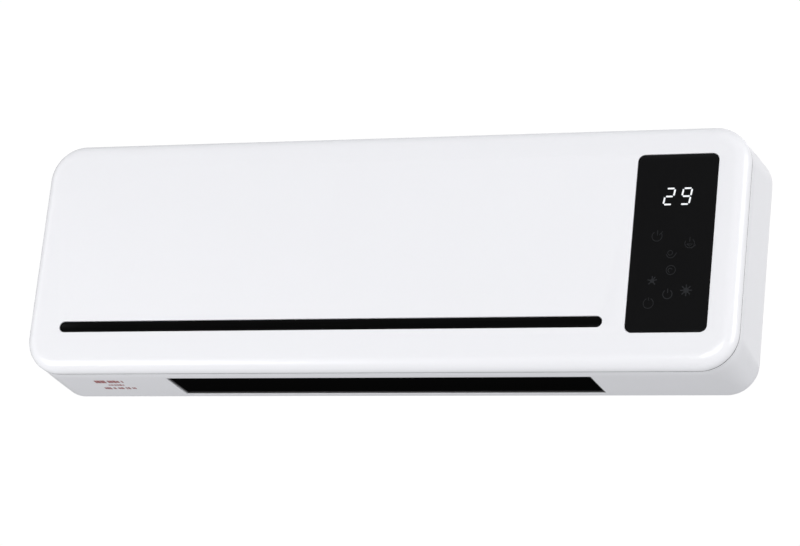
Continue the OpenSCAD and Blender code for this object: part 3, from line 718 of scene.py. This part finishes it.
@dataclass
class FrontCover(Shell):
    """White cover with its rolled rim, the strip and the glass recess."""

    front: float = -68.0
    seam: float = -55.0
    roll: float = 11.5
    roll_depth: float = 9.7
    roundness: float = 2.3
    skin: float = 2.2
    skin_end: float = -58.0
    glass: Outline = Outline(58.2, 130.2, 4.8, (219.6, 1.9), 8)
    glass_floor: float = -65.95
    strip: Outline = Outline(417.0, 8.4, 4.19, (-34.6, -55.0))
    strip_floor: float = -66.3
    strip_face: float = -67.35

    def profile(self) -> list[Flat]:
        """The outer section, as [inset, depth], from the seam to the front face.

        Returns:
            The section: an edge bead, a groove and the rolled rim.
        """
        bead = ((0.6, 0.0), (0.28, 0.08), (0.08, 0.25), (0.0, 0.5), (0.0, 1.2), (0.06, 1.5), (0.24, 1.7))
        groove = ((1.0, 1.78), (1.0, 2.72), (0.3, 2.8), (0.12, 2.95))
        rim = [(inset, self.seam - ahead) for inset, ahead in (*bead, *groove)]
        steps = 18
        power = 2 / self.roundness
        for k in range(steps + 1):
            a = math.radians(90 * k / steps)
            inset = self.roll * (1 - max(math.cos(a), 0.0) ** power)
            rim.append((inset, self.front + self.roll_depth * (1 - math.sin(a) ** power)))
        return rim

    def recess(self, sketch: Sketch, shape: Outline, gap: float, lip: float, floor: float) -> list[int]:
        """Sinks a recess with a rounded lip.

        Args:
            sketch: the cover's sketch.
            shape: what the recess holds.
            gap: the gap round that.
            lip: the radius of the lip.
            floor: the depth of its floor.

        Returns:
            The ring where it meets the front face.
        """
        levels = [
            (gap + lip * (1 - math.sin(a)), self.front + lip * (1 - math.cos(a)))
            for a in (math.radians(t) for t in (0, 22, 45, 68, 90))
        ]
        rings = sketch.chain([on_y(shape.points(grow), y) for grow, y in [*levels, (gap, floor)]])
        sketch.cap(rings[-1])
        return rings[0]

    def shell(self) -> Sketch:
        """The cover, hollow behind.

        Returns:
            Its sketch.
        """
        made = Sketch()
        outer = made.chain([self.around(inset, y) for inset, y in self.profile()])
        holes = [
            self.recess(made, self.glass, 0.28, 0.45, self.glass_floor),
            self.recess(made, self.strip, 0.0, 0.4, self.strip_floor),
        ]
        made.sheet(outer[-1], holes)
        inner = [(self.skin, self.seam), (self.skin, self.skin_end)]
        for a in (math.radians(15 * k) for k in range(1, 7)):
            inset = self.skin + (self.roll - 1.0) * (1 - math.cos(a)) * 0.8
            inner.append((inset, self.skin_end - 7.2 * math.sin(a)))
        back = made.chain([self.around(inset, y) for inset, y in inner])
        made.cap(back[-1])
        made.bridge(outer[0], back[0])
        return made

    def painted_shade_ring(self) -> Sketch:
        """Painted shade: a dark grey ring that fills the rim's groove, standing for the groove's shadow.

        Returns:
            Its sketch.
        """
        made = Sketch()
        section = ((0.16, 1.8), (0.16, 2.7), (0.9, 2.7), (0.9, 1.8))
        made.hoop([self.around(inset, self.seam - ahead) for inset, ahead in section])
        return made

    def build(self) -> list[Piece]:
        """Builds the cover and its strip.

        Returns:
            The pieces.
        """
        bar = Outline(self.strip.width - 0.5, self.strip.height - 0.5, 3.93, self.strip.centre)
        bar_shape = plate(bar, [], self.strip_face, self.strip_floor + 0.02, 0.35, on_y)
        return [
            Piece("front_cover_skin", self.shell(), "white_gloss").smooth(50.0).stands_for("front_cover"),
            # painted shade: a dark grey ring in the rim's groove stands for the shadow there
            Piece("cover_painted_shade_ring", self.painted_shade_ring(), "painted_groove_shade"),
            Piece("trim_strip_bar", bar_shape, "black_gloss").stands_for("trim_strip"),
        ]


# ---- touch panel ----------------------------------------------------------------------------


@dataclass
class Stroke:
    """Flat strokes of one mark printed on the glass."""

    sketch: Sketch
    centre: Flat
    face: float
    lift: float
    width: float

    def line(self, points: Sequence[Flat], closed: bool = False) -> None:
        """Draws a stroke along points.

        Args:
            points: its points from the mark's centre.
            closed: whether it returns to its start.
        """
        n = len(points)
        sides: tuple[list[Flat], list[Flat]] = ([], [])
        for k, (x, z) in enumerate(points):
            before = points[(k - 1) % n] if closed else points[max(k - 1, 0)]
            after = points[(k + 1) % n] if closed else points[min(k + 1, n - 1)]
            dx, dz = after[0] - before[0], after[1] - before[1]
            size = math.hypot(dx, dz) * 2 / self.width
            for side, way in zip(sides, (1, -1)):
                side.append((self.centre[0] + x - way * dz / size, self.centre[1] + z + way * dx / size))
        front, back = self.face - self.lift, self.face + 0.02
        rings = [self.sketch.ring(on_y(side, y)) for side in sides for y in (front, back)]
        order = (rings[0], rings[2], rings[3], rings[1])
        spans = range(n if closed else n - 1)
        for one, other in zip(order, (*order[1:], order[0])):
            self.sketch.faces.extend((one[k], one[(k + 1) % n], other[(k + 1) % n], other[k]) for k in spans)
        if not closed:
            self.sketch.faces.append(tuple(ring[0] for ring in order))
            self.sketch.faces.append(tuple(ring[-1] for ring in order))

    def fill(self, outline: Sequence[Flat]) -> None:
        """Draws a filled shape from its outline on the glass."""
        self.sketch.solid([on_y(outline, self.face - self.lift), on_y(outline, self.face + 0.02)])

    def arc(self, radius: float, start: float, end: float, middle: Flat = (0.0, 0.0)) -> None:
        """Draws an arc.

        Args:
            radius: its radius.
            start: the angle where it starts, in degrees from +X towards +Z.
            end: the angle where it ends.
            middle: its centre, from the mark's centre.
        """
        points = arc(radius, start, end, max(6, int(abs(end - start) / 12)), middle)
        whole = abs(end - start) >= 360
        self.line(points[:-1] if whole else points, whole)

    def rays(self, inner: float, outer: float, turns: Iterable[float]) -> None:
        """Draws straight rays at angles in degrees."""
        for a in (math.radians(t) for t in turns):
            self.line([(r * math.cos(a), r * math.sin(a)) for r in (inner, outer)])

    def disc(self, radius: float) -> None:
        """Draws a filled disc."""
        self.fill(arc(radius, 0, 360, 20, self.centre)[:-1])


@dataclass
class TouchPanel:
    """Black glass with its key marks and the lit digits."""

    outline: Outline = FrontCover.glass
    face: float = -67.8
    back: float = -66.0
    edge: float = 0.3
    print_lift: float = 0.03
    digit_half: Flat = (3.1, 5.85)
    bar: float = 1.2
    bar_gap: float = 0.5
    lean: float = 0.15

    def mark(self, sketch: Sketch, x: float, z: float, width: float = 0.42) -> Stroke:
        """Starts a mark at a place on the glass."""
        return Stroke(sketch, (x, z), self.face, self.print_lift, width)

    def digit(self, mark: Stroke, lit: Iterable[int]) -> None:
        """Draws one seven-segment digit.

        Args:
            mark: the mark that is drawn, at the digit's centre.
            lit: the bars that are lit, clockwise from the top, then the middle one.
        """
        half_w, half_h = self.digit_half
        right = [(half_w, half_h), (half_w, 0), (half_w, -half_h)]
        corners = [(-half_w, half_h), *right, (-half_w, -half_h), (-half_w, 0)]
        spans = [(0, 1), (1, 2), (2, 3), (4, 3), (5, 4), (0, 5), (5, 2)]
        half = self.bar / 2
        for one, other in (spans[k] for k in lit):
            ends = [Vector((x + self.lean * z, z)) for x, z in (corners[one], corners[other])]
            along = (ends[1] - ends[0]).normalized()
            side = Vector((-along.y, along.x)) * half
            near, far = ends[0] + along * self.bar_gap, ends[1] - along * self.bar_gap
            tip = along * half * 0.7
            outline = [near, near + tip + side, far - tip + side, far, far - tip - side, near + tip - side]
            mark.fill([(mark.centre[0] + p.x, mark.centre[1] + p.y) for p in outline])

    def digits(self) -> Sketch:
        """Draws the number on the display, a 2 and a 9.

        Returns:
            Its sketch.
        """
        made = Sketch()
        self.digit(self.mark(made, 215.0, 35.7), (0, 1, 3, 4, 6))
        self.digit(self.mark(made, 227.2, 35.7), (0, 1, 2, 3, 5, 6))
        return made

    def key_marks(self) -> Sketch:
        """Draws the eight key marks.

        Returns:
            Their sketch.
        """
        made = Sketch()
        power = self.mark(made, 219.2, -35.8, 0.6)
        power.arc(3.3, 125, 415)
        power.line([(0, 0.8), (0, 4.0)])
        standby = self.mark(made, 206.0, -42.3)
        standby.arc(3.6, 112, 428)
        standby.line([(0, 2.0), (0, 4.2)])
        timer = self.mark(made, 208.4, 6.6)
        timer.arc(3.6, 125, 400)
        timer.line([(0.2, 0.6), (0.2, 4.4)])
        timer.line([(1.6, 1.0), (3.9, 3.4)])
        swing = self.mark(made, 232.2, 1.1)
        swing.arc(3.4, 150, 300)
        swing.arc(3.4, -30, 55)
        swing.line([(0, 1.0), (0, 4.6)])
        swing.line([(-2.0, -0.6), (2.0, -0.6), (0, -2.2), (-2.0, -0.6)])
        swing.line([(1.4, -3.8), (4.4, -1.2)])
        leaf = self.mark(made, 219.4, -6.1)
        leaf.arc(1.7, 0, 360, (-0.6, 0.4))
        leaf.arc(3.3, 190, 320)
        leaf.line([(2.6, -2.0), (4.0, 0.4)])
        swirl = self.mark(made, 220.2, -18.3)
        swirl.arc(3.3, 0, 360)
        swirl.arc(1.5, 20, 260, (-0.4, -0.2))
        low_heat = self.mark(made, 207.5, -26.0, 0.8)
        low_heat.disc(1.5)
        low_heat.rays(1.4, 3.5, (15, 55, 92, 165, 225, 310))
        high_heat = self.mark(made, 232.3, -33.2, 0.8)
        high_heat.disc(2.1)
        high_heat.rays(1.9, 4.2, range(0, 360, 45))
        return made

    def build(self) -> list[Piece]:
        """Builds the glass and its marks.

        Returns:
            The pieces.
        """
        glass = plate(self.outline, [], self.face, self.back, self.edge, on_y)
        return [
            Piece("touch_glass_pane", glass, "black_glass").stands_for("touch_glass"),
            Piece("digit_bars", self.digits(), "display_light").stands_for("display_digits"),
            Piece("key_marks", self.key_marks(), "grey_print").stands_for("touch_icons"),
        ]


# ---- rear casing ----------------------------------------------------------------------------


@dataclass
class RearCasing(Shell):
    """White tray with crowned walls and its openings."""

    rear_corner_loss: float = 5.0
    seam: float = -54.7
    crown: float = 0.25
    back_edge: float = 0.9
    wall: float = 2.2
    screw_places: Flat = (252.0, 70.0)
    screw_post: float = 10.8
    screw_well: float = 7.2
    bracket_tray: Outline = Outline(213.6, 67.6, 4.0, steps=4)
    bracket_recess: Outline = Outline(210.0, 64.0, 3.0, steps=4)
    outlet: Outline = Outline(324.0, 40.2, 0.6, (0.0, -26.2), 4)
    intake: Outline = Outline(330.0, 40.0, 0.6, (0.0, -28.0), 4)
    intake_throat: Outline = Outline(324.0, 34.0, 0.6, (0.0, -28.0), 4)
    switch_hole: Outline = Outline(13.2, 19.6, 0.5, (-28.0, -12.0), 3)
    gland_hole: Outline = Outline(13.0, 13.0, 6.5, (-28.0, -45.0), 6)
    notch: Outline = Outline(5.4, 10.0, 0.6, (267.7, -29.0), 3)

    def inset(self, y: float) -> float:
        """How far the crowned wall stands inside the casing's box at a depth."""
        t = (y - self.seam) / (-self.back_edge - self.seam)
        return self.crown * (2 * t - 1) ** 2

    def rings(self, section: Iterable[Flat]) -> list[list[Point]]:
        """The casing's outlines along a section, with its corners tighter towards the back.

        Args:
            section: the section, as [inset, depth].

        Returns:
            The outlines.
        """
        return [self.around(inset, y, self.rear_corner_loss * (1 - y / self.seam)) for inset, y in section]

    def tray(self) -> Sketch:
        """The casing before its openings are cut.

        Returns:
            Its sketch.
        """
        made = Sketch()
        steps = 14
        run = -self.back_edge - self.seam
        depths = [self.seam + run * k / steps for k in range(1, steps + 1)]
        outside = [(1.05, self.seam), (0.86, self.seam + 0.08), (0.78, self.seam + 0.3)]
        outside += [(self.inset(y), y) for y in depths]
        for inward, back in arc(self.back_edge, 0, 90, 6)[1:]:
            outside.append((self.crown + self.back_edge - inward, back - self.back_edge))
        inside = [
            (2.4, self.seam), (2.4, -57.6), (2.6, -57.9), (3.8, -57.9), (4.0, -57.6), (4.0, -49.5),
            (self.wall + 0.8, -48.3), (self.wall + 0.8, -5.0), (self.wall + 2.0, -self.wall),
        ]
        outer = made.chain(self.rings(outside))
        inner = made.chain(self.rings(inside))
        made.cap(outer[-1])
        made.cap(inner[-1])
        made.bridge(outer[0], inner[0])
        return made

    def openings(self, casing: Piece) -> None:
        """Joins the posts and the bracket's tray on, then cuts all the openings.

        Args:
            casing: the casing's piece.
        """
        places = [(sx * self.screw_places[0], sz * self.screw_places[1]) for sx in (-1, 1) for sz in (-1, 1)]
        posts = [Outline(self.screw_post, self.screw_post, self.screw_post / 2, place, 6) for place in places]
        wells = [Outline(self.screw_well, self.screw_well, self.screw_well / 2, place, 6) for place in places]
        work = [
            (self.bracket_tray, -6.8, -1.0, on_y, Carving.JOIN),
            *((post, -30.0, -1.0, on_y, Carving.JOIN) for post in posts),
            (self.bracket_recess, -5.0, 1.0, on_y, Carving.CUT),
            *((well, -24.0, 1.0, on_y, Carving.CUT) for well in wells),
            (self.outlet, -90.0, -84.0, on_z, Carving.CUT),
            (self.intake, 87.3, 90.0, on_z, Carving.CUT),
            (self.intake_throat, 84.0, 90.0, on_z, Carving.CUT),
            (self.switch_hole, -272.0, -265.0, on_x, Carving.CUT),
            (self.gland_hole, -272.0, -265.0, on_x, Carving.CUT),
            (self.notch, 77.0, 78.2, on_z, Carving.CUT),
        ]
        for shape, low, high, stand, how in work:
            tool = Sketch()
            tool.solid([stand(shape.points(), low), stand(shape.points(), high)])
            casing.carve(tool, how)

    def caution_marks(self) -> Sketch:
        """Plain red dashes where the underside carries a notice.

        Returns:
            Their sketch.
        """
        made = Sketch()
        luck = random.Random(5)
        # each row: its depth, where it starts and ends, and how deep its dashes are
        rows = ((-38.5, -223.0, -200.5, 6.6), (-30.5, -215.5, -202.5, 3.2), (-22.5, -222.0, -196.0, 5.0))
        for y, start, end, depth in rows:
            level = self.inset(y) - self.height / 2
            x = start
            while x < end:
                size = luck.uniform(1.0, 2.2)
                half = depth * luck.uniform(0.32, 0.5)
                made.block((x, y - half, level - 0.06), (x + size, y + half, level + 0.1))
                x += size + luck.choice((0.45, 0.6, 0.8, 1.9))
        return made

    def build(self) -> list[Piece]:
        """Builds the casing with its openings and its caution marks.

        Returns:
            The pieces.
        """
        casing = Piece("rear_casing_shell", self.tray(), "white_casing")
        self.openings(casing)
        casing.smooth(32.0).stands_for("rear_casing")
        round_edges(casing.object, 0.35)
        return [casing, Piece("caution_dashes", self.caution_marks(), "caution_red")]


# ---- outlet ---------------------------------------------------------------------------------


@dataclass
class Outlet:
    """Black duct mouth and the flap that closes it."""

    mouth: Outline = Outline(323.8, 40.0, 0.9, (0.0, -26.2), 4)
    throat: Outline = Outline(320.8, 37.0, 0.6, (0.0, -26.2), 4)
    top_hole: Outline = Outline(316.0, 30.7, 0.4, (0.0, -29.35), 4)
    rim: float = -87.75
    top: float = -55.5
    hinge: Flat = (-14.5, -83.2)
    reach: Flat = (-44.0, -11.0)
    half: float = 159.8
    thickness: float = 2.2
    nose: float = 1.1
    blade_level: float = -88.05
    blade_crown: float = 0.25
    blade_middle: float = -87.0
    ear: float = 4.0
    ear_width: float = 2.5
    ear_foot: float = -86.9
    pin_end: float = 161.9

    def nozzle(self) -> Sketch:
        """The duct mouth.

        Returns:
            Its sketch.
        """
        made = Sketch()
        ledge = self.top - 1.5
        levels = [
            (self.mouth, -0.3, self.rim), (self.mouth, -0.08, self.rim + 0.1),
            (self.mouth, 0.0, self.rim + 0.35), (self.mouth, 0.0, self.top),
            (self.top_hole, 0.0, self.top), (self.top_hole, 0.0, ledge),
            (self.throat, 0.0, ledge), (self.throat, 0.0, self.rim + 0.35),
            (self.throat, 0.08, self.rim + 0.1), (self.throat, 0.3, self.rim),
        ]
        made.hoop([on_z(shape.points(grow), z) for shape, grow, z in levels])
        return made

    def under(self, y: float) -> float:
        """Height of the flap's lower face at a depth: it follows the casing's crown."""
        middle = (self.reach[0] + self.reach[1]) / 2
        return self.blade_level + self.blade_crown * ((y - middle) / (self.reach[1] - middle)) ** 2

    def flap_section(self) -> list[Flat]:
        """The flap's section, thinner towards its free edge and round there.

        Returns:
            The section, as [y, z].
        """
        front, rear = self.reach
        steps = 14
        start = front + self.nose
        depths = [start + (rear - start) * k / steps for k in range(steps + 1)]
        made = [(y, self.under(y)) for y in depths]
        for y in reversed(depths):
            thinner = 0.5 * max(0.0, (front + 9 - y) / 9)
            made.append((y, self.under(y) + self.thickness - thinner))
        low, high = made[0][1], made[-1][1]
        for k in range(1, 8):
            a = math.radians(90 + 180 * k / 8)
            made.append((start + self.nose * math.cos(a), (low + high) / 2 + (high - low) / 2 * math.sin(a)))
        return made

    def flap(self) -> Sketch:
        """The flap with its ears, pins and rib.

        Returns:
            Its sketch.
        """
        made = Sketch()
        section = self.flap_section()
        stations = [(-self.half, 0.35), (-self.half + 0.12, 0.12), (-self.half + 0.4, 0.0)]
        stations += [(-x, inset) for x, inset in reversed(stations)]
        made.solid([
            on_x([(y, z + math.copysign(inset, self.blade_middle - z)) for y, z in section], x)
            for x, inset in stations
        ])
        ear = arc(self.ear, -10, 182, 16, self.hinge)
        ear += [(self.hinge[0] - self.ear, self.ear_foot), (self.hinge[0] + self.ear - 0.5, self.ear_foot)]
        for x in (-self.half, -self.ear_width / 2, self.half - self.ear_width):
            made.solid([on_x(ear, x), on_x(ear, x + self.ear_width)])
        made.tube([(-self.pin_end, *self.hinge), (-self.half, *self.hinge)], 1.5, 20)
        made.tube([(self.half, *self.hinge), (self.pin_end, *self.hinge)], 2.8, 24)
        made.block((-152.8, -36.8, -86.6), (152.8, -35.6, -84.4))
        return made

    def build(self) -> list[Piece]:
        """Builds the mouth and the flap.

        Returns:
            The pieces.
        """
        mouth = Piece("outlet_mouth", self.nozzle(), "heat_proof_plastic").stands_for("outlet_nozzle")
        flap = Piece("outlet_flap", self.flap(), "flap_black", "flap").smooth(30.0)
        return [mouth, flap.stands_for("flap_blade")]


# ---- intake ---------------------------------------------------------------------------------


@dataclass
class Intake:
    """Slotted grille over a filter of woven threads."""

    grille: Outline = Outline(329.4, 39.4, 0.6, (0.0, -28.0), 3)
    low: float = 87.3
    high: float = 88.4
    slots: int = 40
    pitch: float = 8.0
    slot_size: Flat = (5.0, 31.0)
    cloth_half: float = 159.9
    cloth_depth: Flat = (-42.9, -13.1)
    cloth_level: float = 83.85
    thread: float = 0.28
    thread_pitch: float = 1.1

    def cloth(self) -> Sketch:
        """The filter's threads, one layer laid over the other.

        Returns:
            Their sketch.
        """
        made = Sketch()
        near, far = self.cloth_depth
        half = self.thread / 2
        across = int(2 * self.cloth_half / self.thread_pitch)
        for k in range(across + 1):
            x = -self.cloth_half + half + (2 * self.cloth_half - self.thread) * k / across
            made.block((x - half, near, self.cloth_level), (x + half, far, self.cloth_level + self.thread))
        along = int((far - near) / self.thread_pitch)
        low = self.cloth_level + self.thread * 0.8
        for k in range(along + 1):
            y = near + half + (far - near - self.thread) * k / along
            made.block((-self.cloth_half, y - half, low), (self.cloth_half, y + half, low + self.thread))
        return made

    def build(self) -> list[Piece]:
        """Builds the grille and the filter's cloth.

        Returns:
            The pieces.
        """
        width, depth = self.slot_size
        middle = self.grille.centre[1]
        places = [((k - (self.slots - 1) / 2) * self.pitch, middle) for k in range(self.slots)]
        holes = [Outline(width, depth, width / 2 - 0.01, place, 6) for place in places]
        shape = plate(self.grille, holes, self.low, self.high, 0.3, on_z)
        return [
            Piece("intake_louvre", shape, "white_casing", "intake_filter").stands_for("intake_grille"),
            Piece("filter_threads", self.cloth(), "filter_cloth", "intake_filter").stands_for("filter_mesh"),
        ]


# ---- left side ------------------------------------------------------------------------------


@dataclass
class LeftSide:
    """Ribbed cord gland and the mains rocker."""

    side: float = -270.0
    gland_axis: Flat = (-28.0, -45.0)
    bore: float = 3.6
    ribs: int = 3
    rib_pitch: float = 1.7
    rocker_axis: Flat = (-268.0, -12.0)
    rocker_depth: Flat = (-33.2, -22.8)
    rocker_half: float = 8.2
    tilt: float = 9.0

    def gland(self) -> Sketch:
        """The gland: a flange, a ribbed neck and its bore.

        Returns:
            Its sketch.
        """
        x = self.side
        profile = [
            (x + 13, self.bore), (x + 13, 6.2), (x + 12.6, 6.4), (x + 0.6, 6.4), (x + 0.3, 9.3), (x, 9.5),
            (x - 1.6, 9.5), (x - 2.3, 9.1), (x - 2.6, 8.3),
        ]
        for k in range(self.ribs):
            start = x - 2.9 - self.rib_pitch * k
            wide = 7.3 - 0.5 * k
            foot = wide - 0.9
            profile += [(start, foot), (start - 0.25, wide), (start - 1.0, wide), (start - 1.25, foot)]
        profile += [(x - 7.9, 5.0), (x - 8.0, 4.4), (x - 7.7, self.bore + 0.1), (x - 7.2, self.bore)]
        return lathe_x(profile, self.gland_axis, 48)

    def tipped(self, out: float, up: float) -> Flat:
        """Tips a point of the rocker's section about its axis.

        Args:
            out: how far the point is from the axis, out of the casing.
            up: how far it is above the axis.

        Returns:
            The point as [x, z].
        """
        turn = math.radians(self.tilt)
        cos, sin = math.cos(turn), math.sin(turn)
        return (self.rocker_axis[0] - out * cos - up * sin, self.rocker_axis[1] - out * sin + up * cos)

    def rocker(self) -> Sketch:
        """The rocker, tipped to its off side, with a hollow face and two pins.

        Returns:
            Its sketch.
        """
        half = self.rocker_half
        face = [(2.6 + 1.6 * (abs(t) ** 1.6), half * t) for t in (k / 8 for k in range(-8, 9))]
        section = [(-1.5, -7.0), (1.5, -half), *face, (1.5, half), (-1.5, 7.0)]
        made = Sketch()
        near, far = self.rocker_depth
        rings = []
        for y, shrink in ((near, 0.3), (near + 0.3, 0.0), (far - 0.3, 0.0), (far, 0.3)):
            smaller = [(out - math.copysign(shrink, out), up * (1 - shrink / 8)) for out, up in section]
            rings.append(on_y([self.tipped(out, up) for out, up in smaller], y))
        made.solid(rings)
        x, z = self.rocker_axis
        for start, end in ((near - 1.1, near), (far, far + 1.1)):
            made.tube([(x, start, z), (x, end, z)], 1.2, 16)
        return made

    def build(self) -> list[Piece]:
        """Builds the gland and the rocker.

        Returns:
            The pieces.
        """
        gland = Piece("cord_gland_ribbed", self.gland(), "black_plastic").stands_for("cord_gland")
        rocker = Piece("rocker_button", self.rocker(), "rocker_red", "rocker").smooth(25.0)
        return [gland, rocker.stands_for("switch_rocker")]


# ---- wiring ---------------------------------------------------------------------------------


@dataclass
class Wiring:
    """Round wires from the gland, the switch and the motor to the terminals."""

    gauge: float = 1.3
    thin_gauge: float = 0.9

    def build(self) -> list[Piece]:
        """Builds the wires.

        Returns:
            The pieces.
        """
        from_gland = [
            (-253, -28, -45), (-244, -31, -50), (-236, -44, -68), (-206, -53, -78), (-60, -53.4, -78.2),
            (90, -52.8, -77.8), (176, -53, -78), (190, -44, -62), (196.8, -23, -50), (196.8, -23, -36.6),
        ]
        from_switch = [
            (-245.5, -28, -18), (-236, -30, -28), (-230, -46, -62), (-204, -53, -74), (-40, -52.8, -74.2),
            (110, -53.2, -73.9), (176, -53, -74), (194, -43, -58), (204.4, -23, -50), (204.4, -23, -36.6),
        ]
        from_coil = [
            (-200.6, -40, 60), (-212, -44, 52), (-218, -50, 10), (-214, -56, -60), (-200, -57.5, -71),
            (-20, -57.2, -71.2), (174, -57.5, -71), (198, -48, -56), (212, -23, -50), (212, -23, -36.6),
        ]
        mains, thin = Sketch(), Sketch()
        for knots in (from_gland, from_switch):
            mains.tube(curve_through(knots), self.gauge, 12)
        thin.tube(curve_through(from_coil), self.thin_gauge, 12)
        return [
            Piece("mains_leads", mains, "wire_brown").stands_for("mains_wires"),
            Piece("motor_leads", thin, "wire_black").stands_for("motor_wires"),
        ]


# ---- the model's own nodes ------------------------------------------------------------------


ROUNDED_EDGES: dict[str, float] = {
    "wall_bracket": 0.35, "switch_housing": 0.3, "gland_nut": 0.3, "case_screws": 0.12, "filter_frame": 0.25,
    "control_board": 0.15, "display_board": 0.15, "display_module": 0.3, "remote_sensor": 0.2,
    "power_relays": 0.5, "power_module": 0.4, "terminal_block": 0.35, "capacitors": 0.3, "buzzer": 0.4,
    "board_screws": 0.12, "display_screws": 0.12, "motor_coil": 0.8, "motor_stack": 0.12,
    "motor_bridges": 0.15, "bearing_cup": 0.4, "thermal_cutout": 0.25, "heater_holders": 0.4,
    "heater_tubes": 0.3, "scroll_back": 0.15, "scroll_front": 0.15, "duct_end_left": 0.15,
    "duct_end_right": 0.15, "duct_screws": 0.12, "flap_motor": 0.35, "impeller_discs": 0.2,
}


def dress_nodes() -> int:
    """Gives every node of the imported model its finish, and many of them rounded edges.

    Returns:
        How many nodes were dressed.
    """
    slots = {entry["node"]: entry["material_slot"] for entry in frame["record"]["subparts"]}
    for name, node in frame["nodes"].items():
        node.data.materials.clear()
        node.data.materials.append(FINISHES[slots[name]].material())
        if name in ROUNDED_EDGES:
            weld = node.modifiers.new("weld", "WELD")
            weld.merge_threshold = 0.004 * MM
            round_edges(node, ROUNDED_EDGES[name])
    return len(slots)


# ---- stage ----------------------------------------------------------------------------------


@dataclass
class Studio:
    """Camera, floor, world and lights, in metres."""

    position: Point = (0.85885, -2.15779, -0.73743)
    forward: Point = (-0.35456, 0.88404, 0.30458)
    up: Point = (0.01474, -0.32042, 0.94716)
    lens: float = 149.78
    sensor: float = 36.0
    clip: Flat = (0.05, 60.0)
    floor_level: float = -4.5
    floor_size: float = 120.0
    floor_depth: float = 20.0 * MM
    horizon: float = 0.5
    high_background: float = 1.02
    low_sky: float = 0.32
    high_sky: float = 0.36
    top_sky: float = 0.81
    # each light: its name, place, width and height, and its power in watts
    lights: tuple[tuple[str, Point, Flat, float], ...] = (
        ("key", (0.35, -2.1, -0.35), (1.2, 0.8), 15.0),
        ("from_left", (-1.9, -1.0, 0.55), (1.2, 1.6), 6.2),
        ("from_lower_left", (-1.3, -1.5, -0.9), (1.0, 1.0), 16.5),
        ("from_right", (2.0, -0.5, 0.4), (1.2, 1.6), 22.8),
        ("from_behind", (0.0, 2.2, 1.2), (2.4, 1.4), 6.0),
    )

    def camera(self) -> None:
        """Sets up the camera."""
        data = bpy.data.cameras.new("camera")
        data.lens, data.sensor_width = self.lens, self.sensor
        data.clip_start, data.clip_end = self.clip
        made = bpy.data.objects.new("camera", data)
        back = -Vector(self.forward).normalized()
        right = Vector(self.up).cross(back).normalized()
        turn = Matrix((right, back.cross(right), back)).transposed()
        made.matrix_world = Matrix.Translation(self.position) @ turn.to_4x4()
        bpy.context.scene.collection.objects.link(made)
        bpy.context.scene.camera = made

    def floor(self) -> None:
        """Lays a plain pale floor far below."""
        made = Sketch()
        half, level = self.floor_size / 2 / MM, self.floor_level / MM
        made.block((-half, -half, level - self.floor_depth / MM), (half, half, level))
        floor = bpy.data.objects.new("floor", made.mesh("floor"))
        floor.data.materials.append(FINISHES["floor_pale"].material())
        bpy.context.scene.collection.objects.link(floor)

    def world(self) -> None:
        """A plain white background, darker at the floor's edge.

        The light that it gives is another: it comes from behind and overhead.
        """
        world = bpy.data.worlds.new("studio")
        bpy.context.scene.world = world
        world.use_nodes = True
        desk = NodeDesk(world.node_tree)
        out = desk.node("ShaderNodeOutputWorld")
        seen = desk.node("ShaderNodeBackground", Color=(1, 1, 1, 1))
        lit = desk.node("ShaderNodeBackground", Color=(0.97, 0.98, 1.0, 1.0))
        where = desk.node("ShaderNodeTexCoord")
        axes = desk.node("ShaderNodeSeparateXYZ")
        desk.link(where.outputs["Generated"], axes.inputs[0])
        _, depth, height = axes.outputs
        background = desk.fade(height, (-0.03, 0.16), (self.horizon, self.high_background))
        desk.link(background, seen.inputs["Strength"])
        behind = desk.fade(depth, (0.1, 0.8), (0.0, 1.0))
        sky = desk.fade(height, (-0.1, 0.25), (self.low_sky, self.high_sky))
        overhead = desk.fade(height, (0.35, 0.8), (0.0, self.top_sky))
        desk.link(desk.sum("MAXIMUM", desk.sum("MULTIPLY", behind, sky), overhead), lit.inputs["Strength"])
        rays = desk.node("ShaderNodeLightPath")
        mix = desk.node("ShaderNodeMixShader")
        desk.link(rays.outputs["Is Camera Ray"], mix.inputs[0])
        desk.link(lit.outputs[0], mix.inputs[1])
        desk.link(seen.outputs[0], mix.inputs[2])
        desk.link(mix.outputs[0], out.inputs["Surface"])

    def light(self, name: str, place: Point, size: Flat, power: float) -> None:
        """Hangs a soft panel light that points at the object.

        Args:
            name: the light's name.
            place: where it hangs.
            size: its width and height.
            power: its power in watts.
        """
        data = bpy.data.lights.new(name, "AREA")
        data.shape, data.energy = "RECTANGLE", power
        data.size, data.size_y = size
        made = bpy.data.objects.new(name, data)
        made.location = place
        made.rotation_mode = "QUATERNION"
        made.rotation_quaternion = (-Vector(place)).to_track_quat("-Z", "Y")
        bpy.context.scene.collection.objects.link(made)

    def build(self) -> None:
        """Builds the stage."""
        self.camera()
        self.floor()
        self.world()
        for light in self.lights:
            self.light(*light)
        bpy.context.scene.view_settings.view_transform = "Standard"


def main() -> None:
    """Builds the scene."""
    logging.basicConfig(level=logging.INFO, format="%(message)s")
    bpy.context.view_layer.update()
    log.info("dressed %d nodes", dress_nodes())
    Studio().build()
    for part in (FrontCover(), TouchPanel(), RearCasing(), Outlet(), Intake(), LeftSide(), Wiring()):
        for piece in part.build():
            log.info("%s: %d faces", piece.object.name, len(piece.object.data.polygons))


if __name__ == "__main__":
    main()
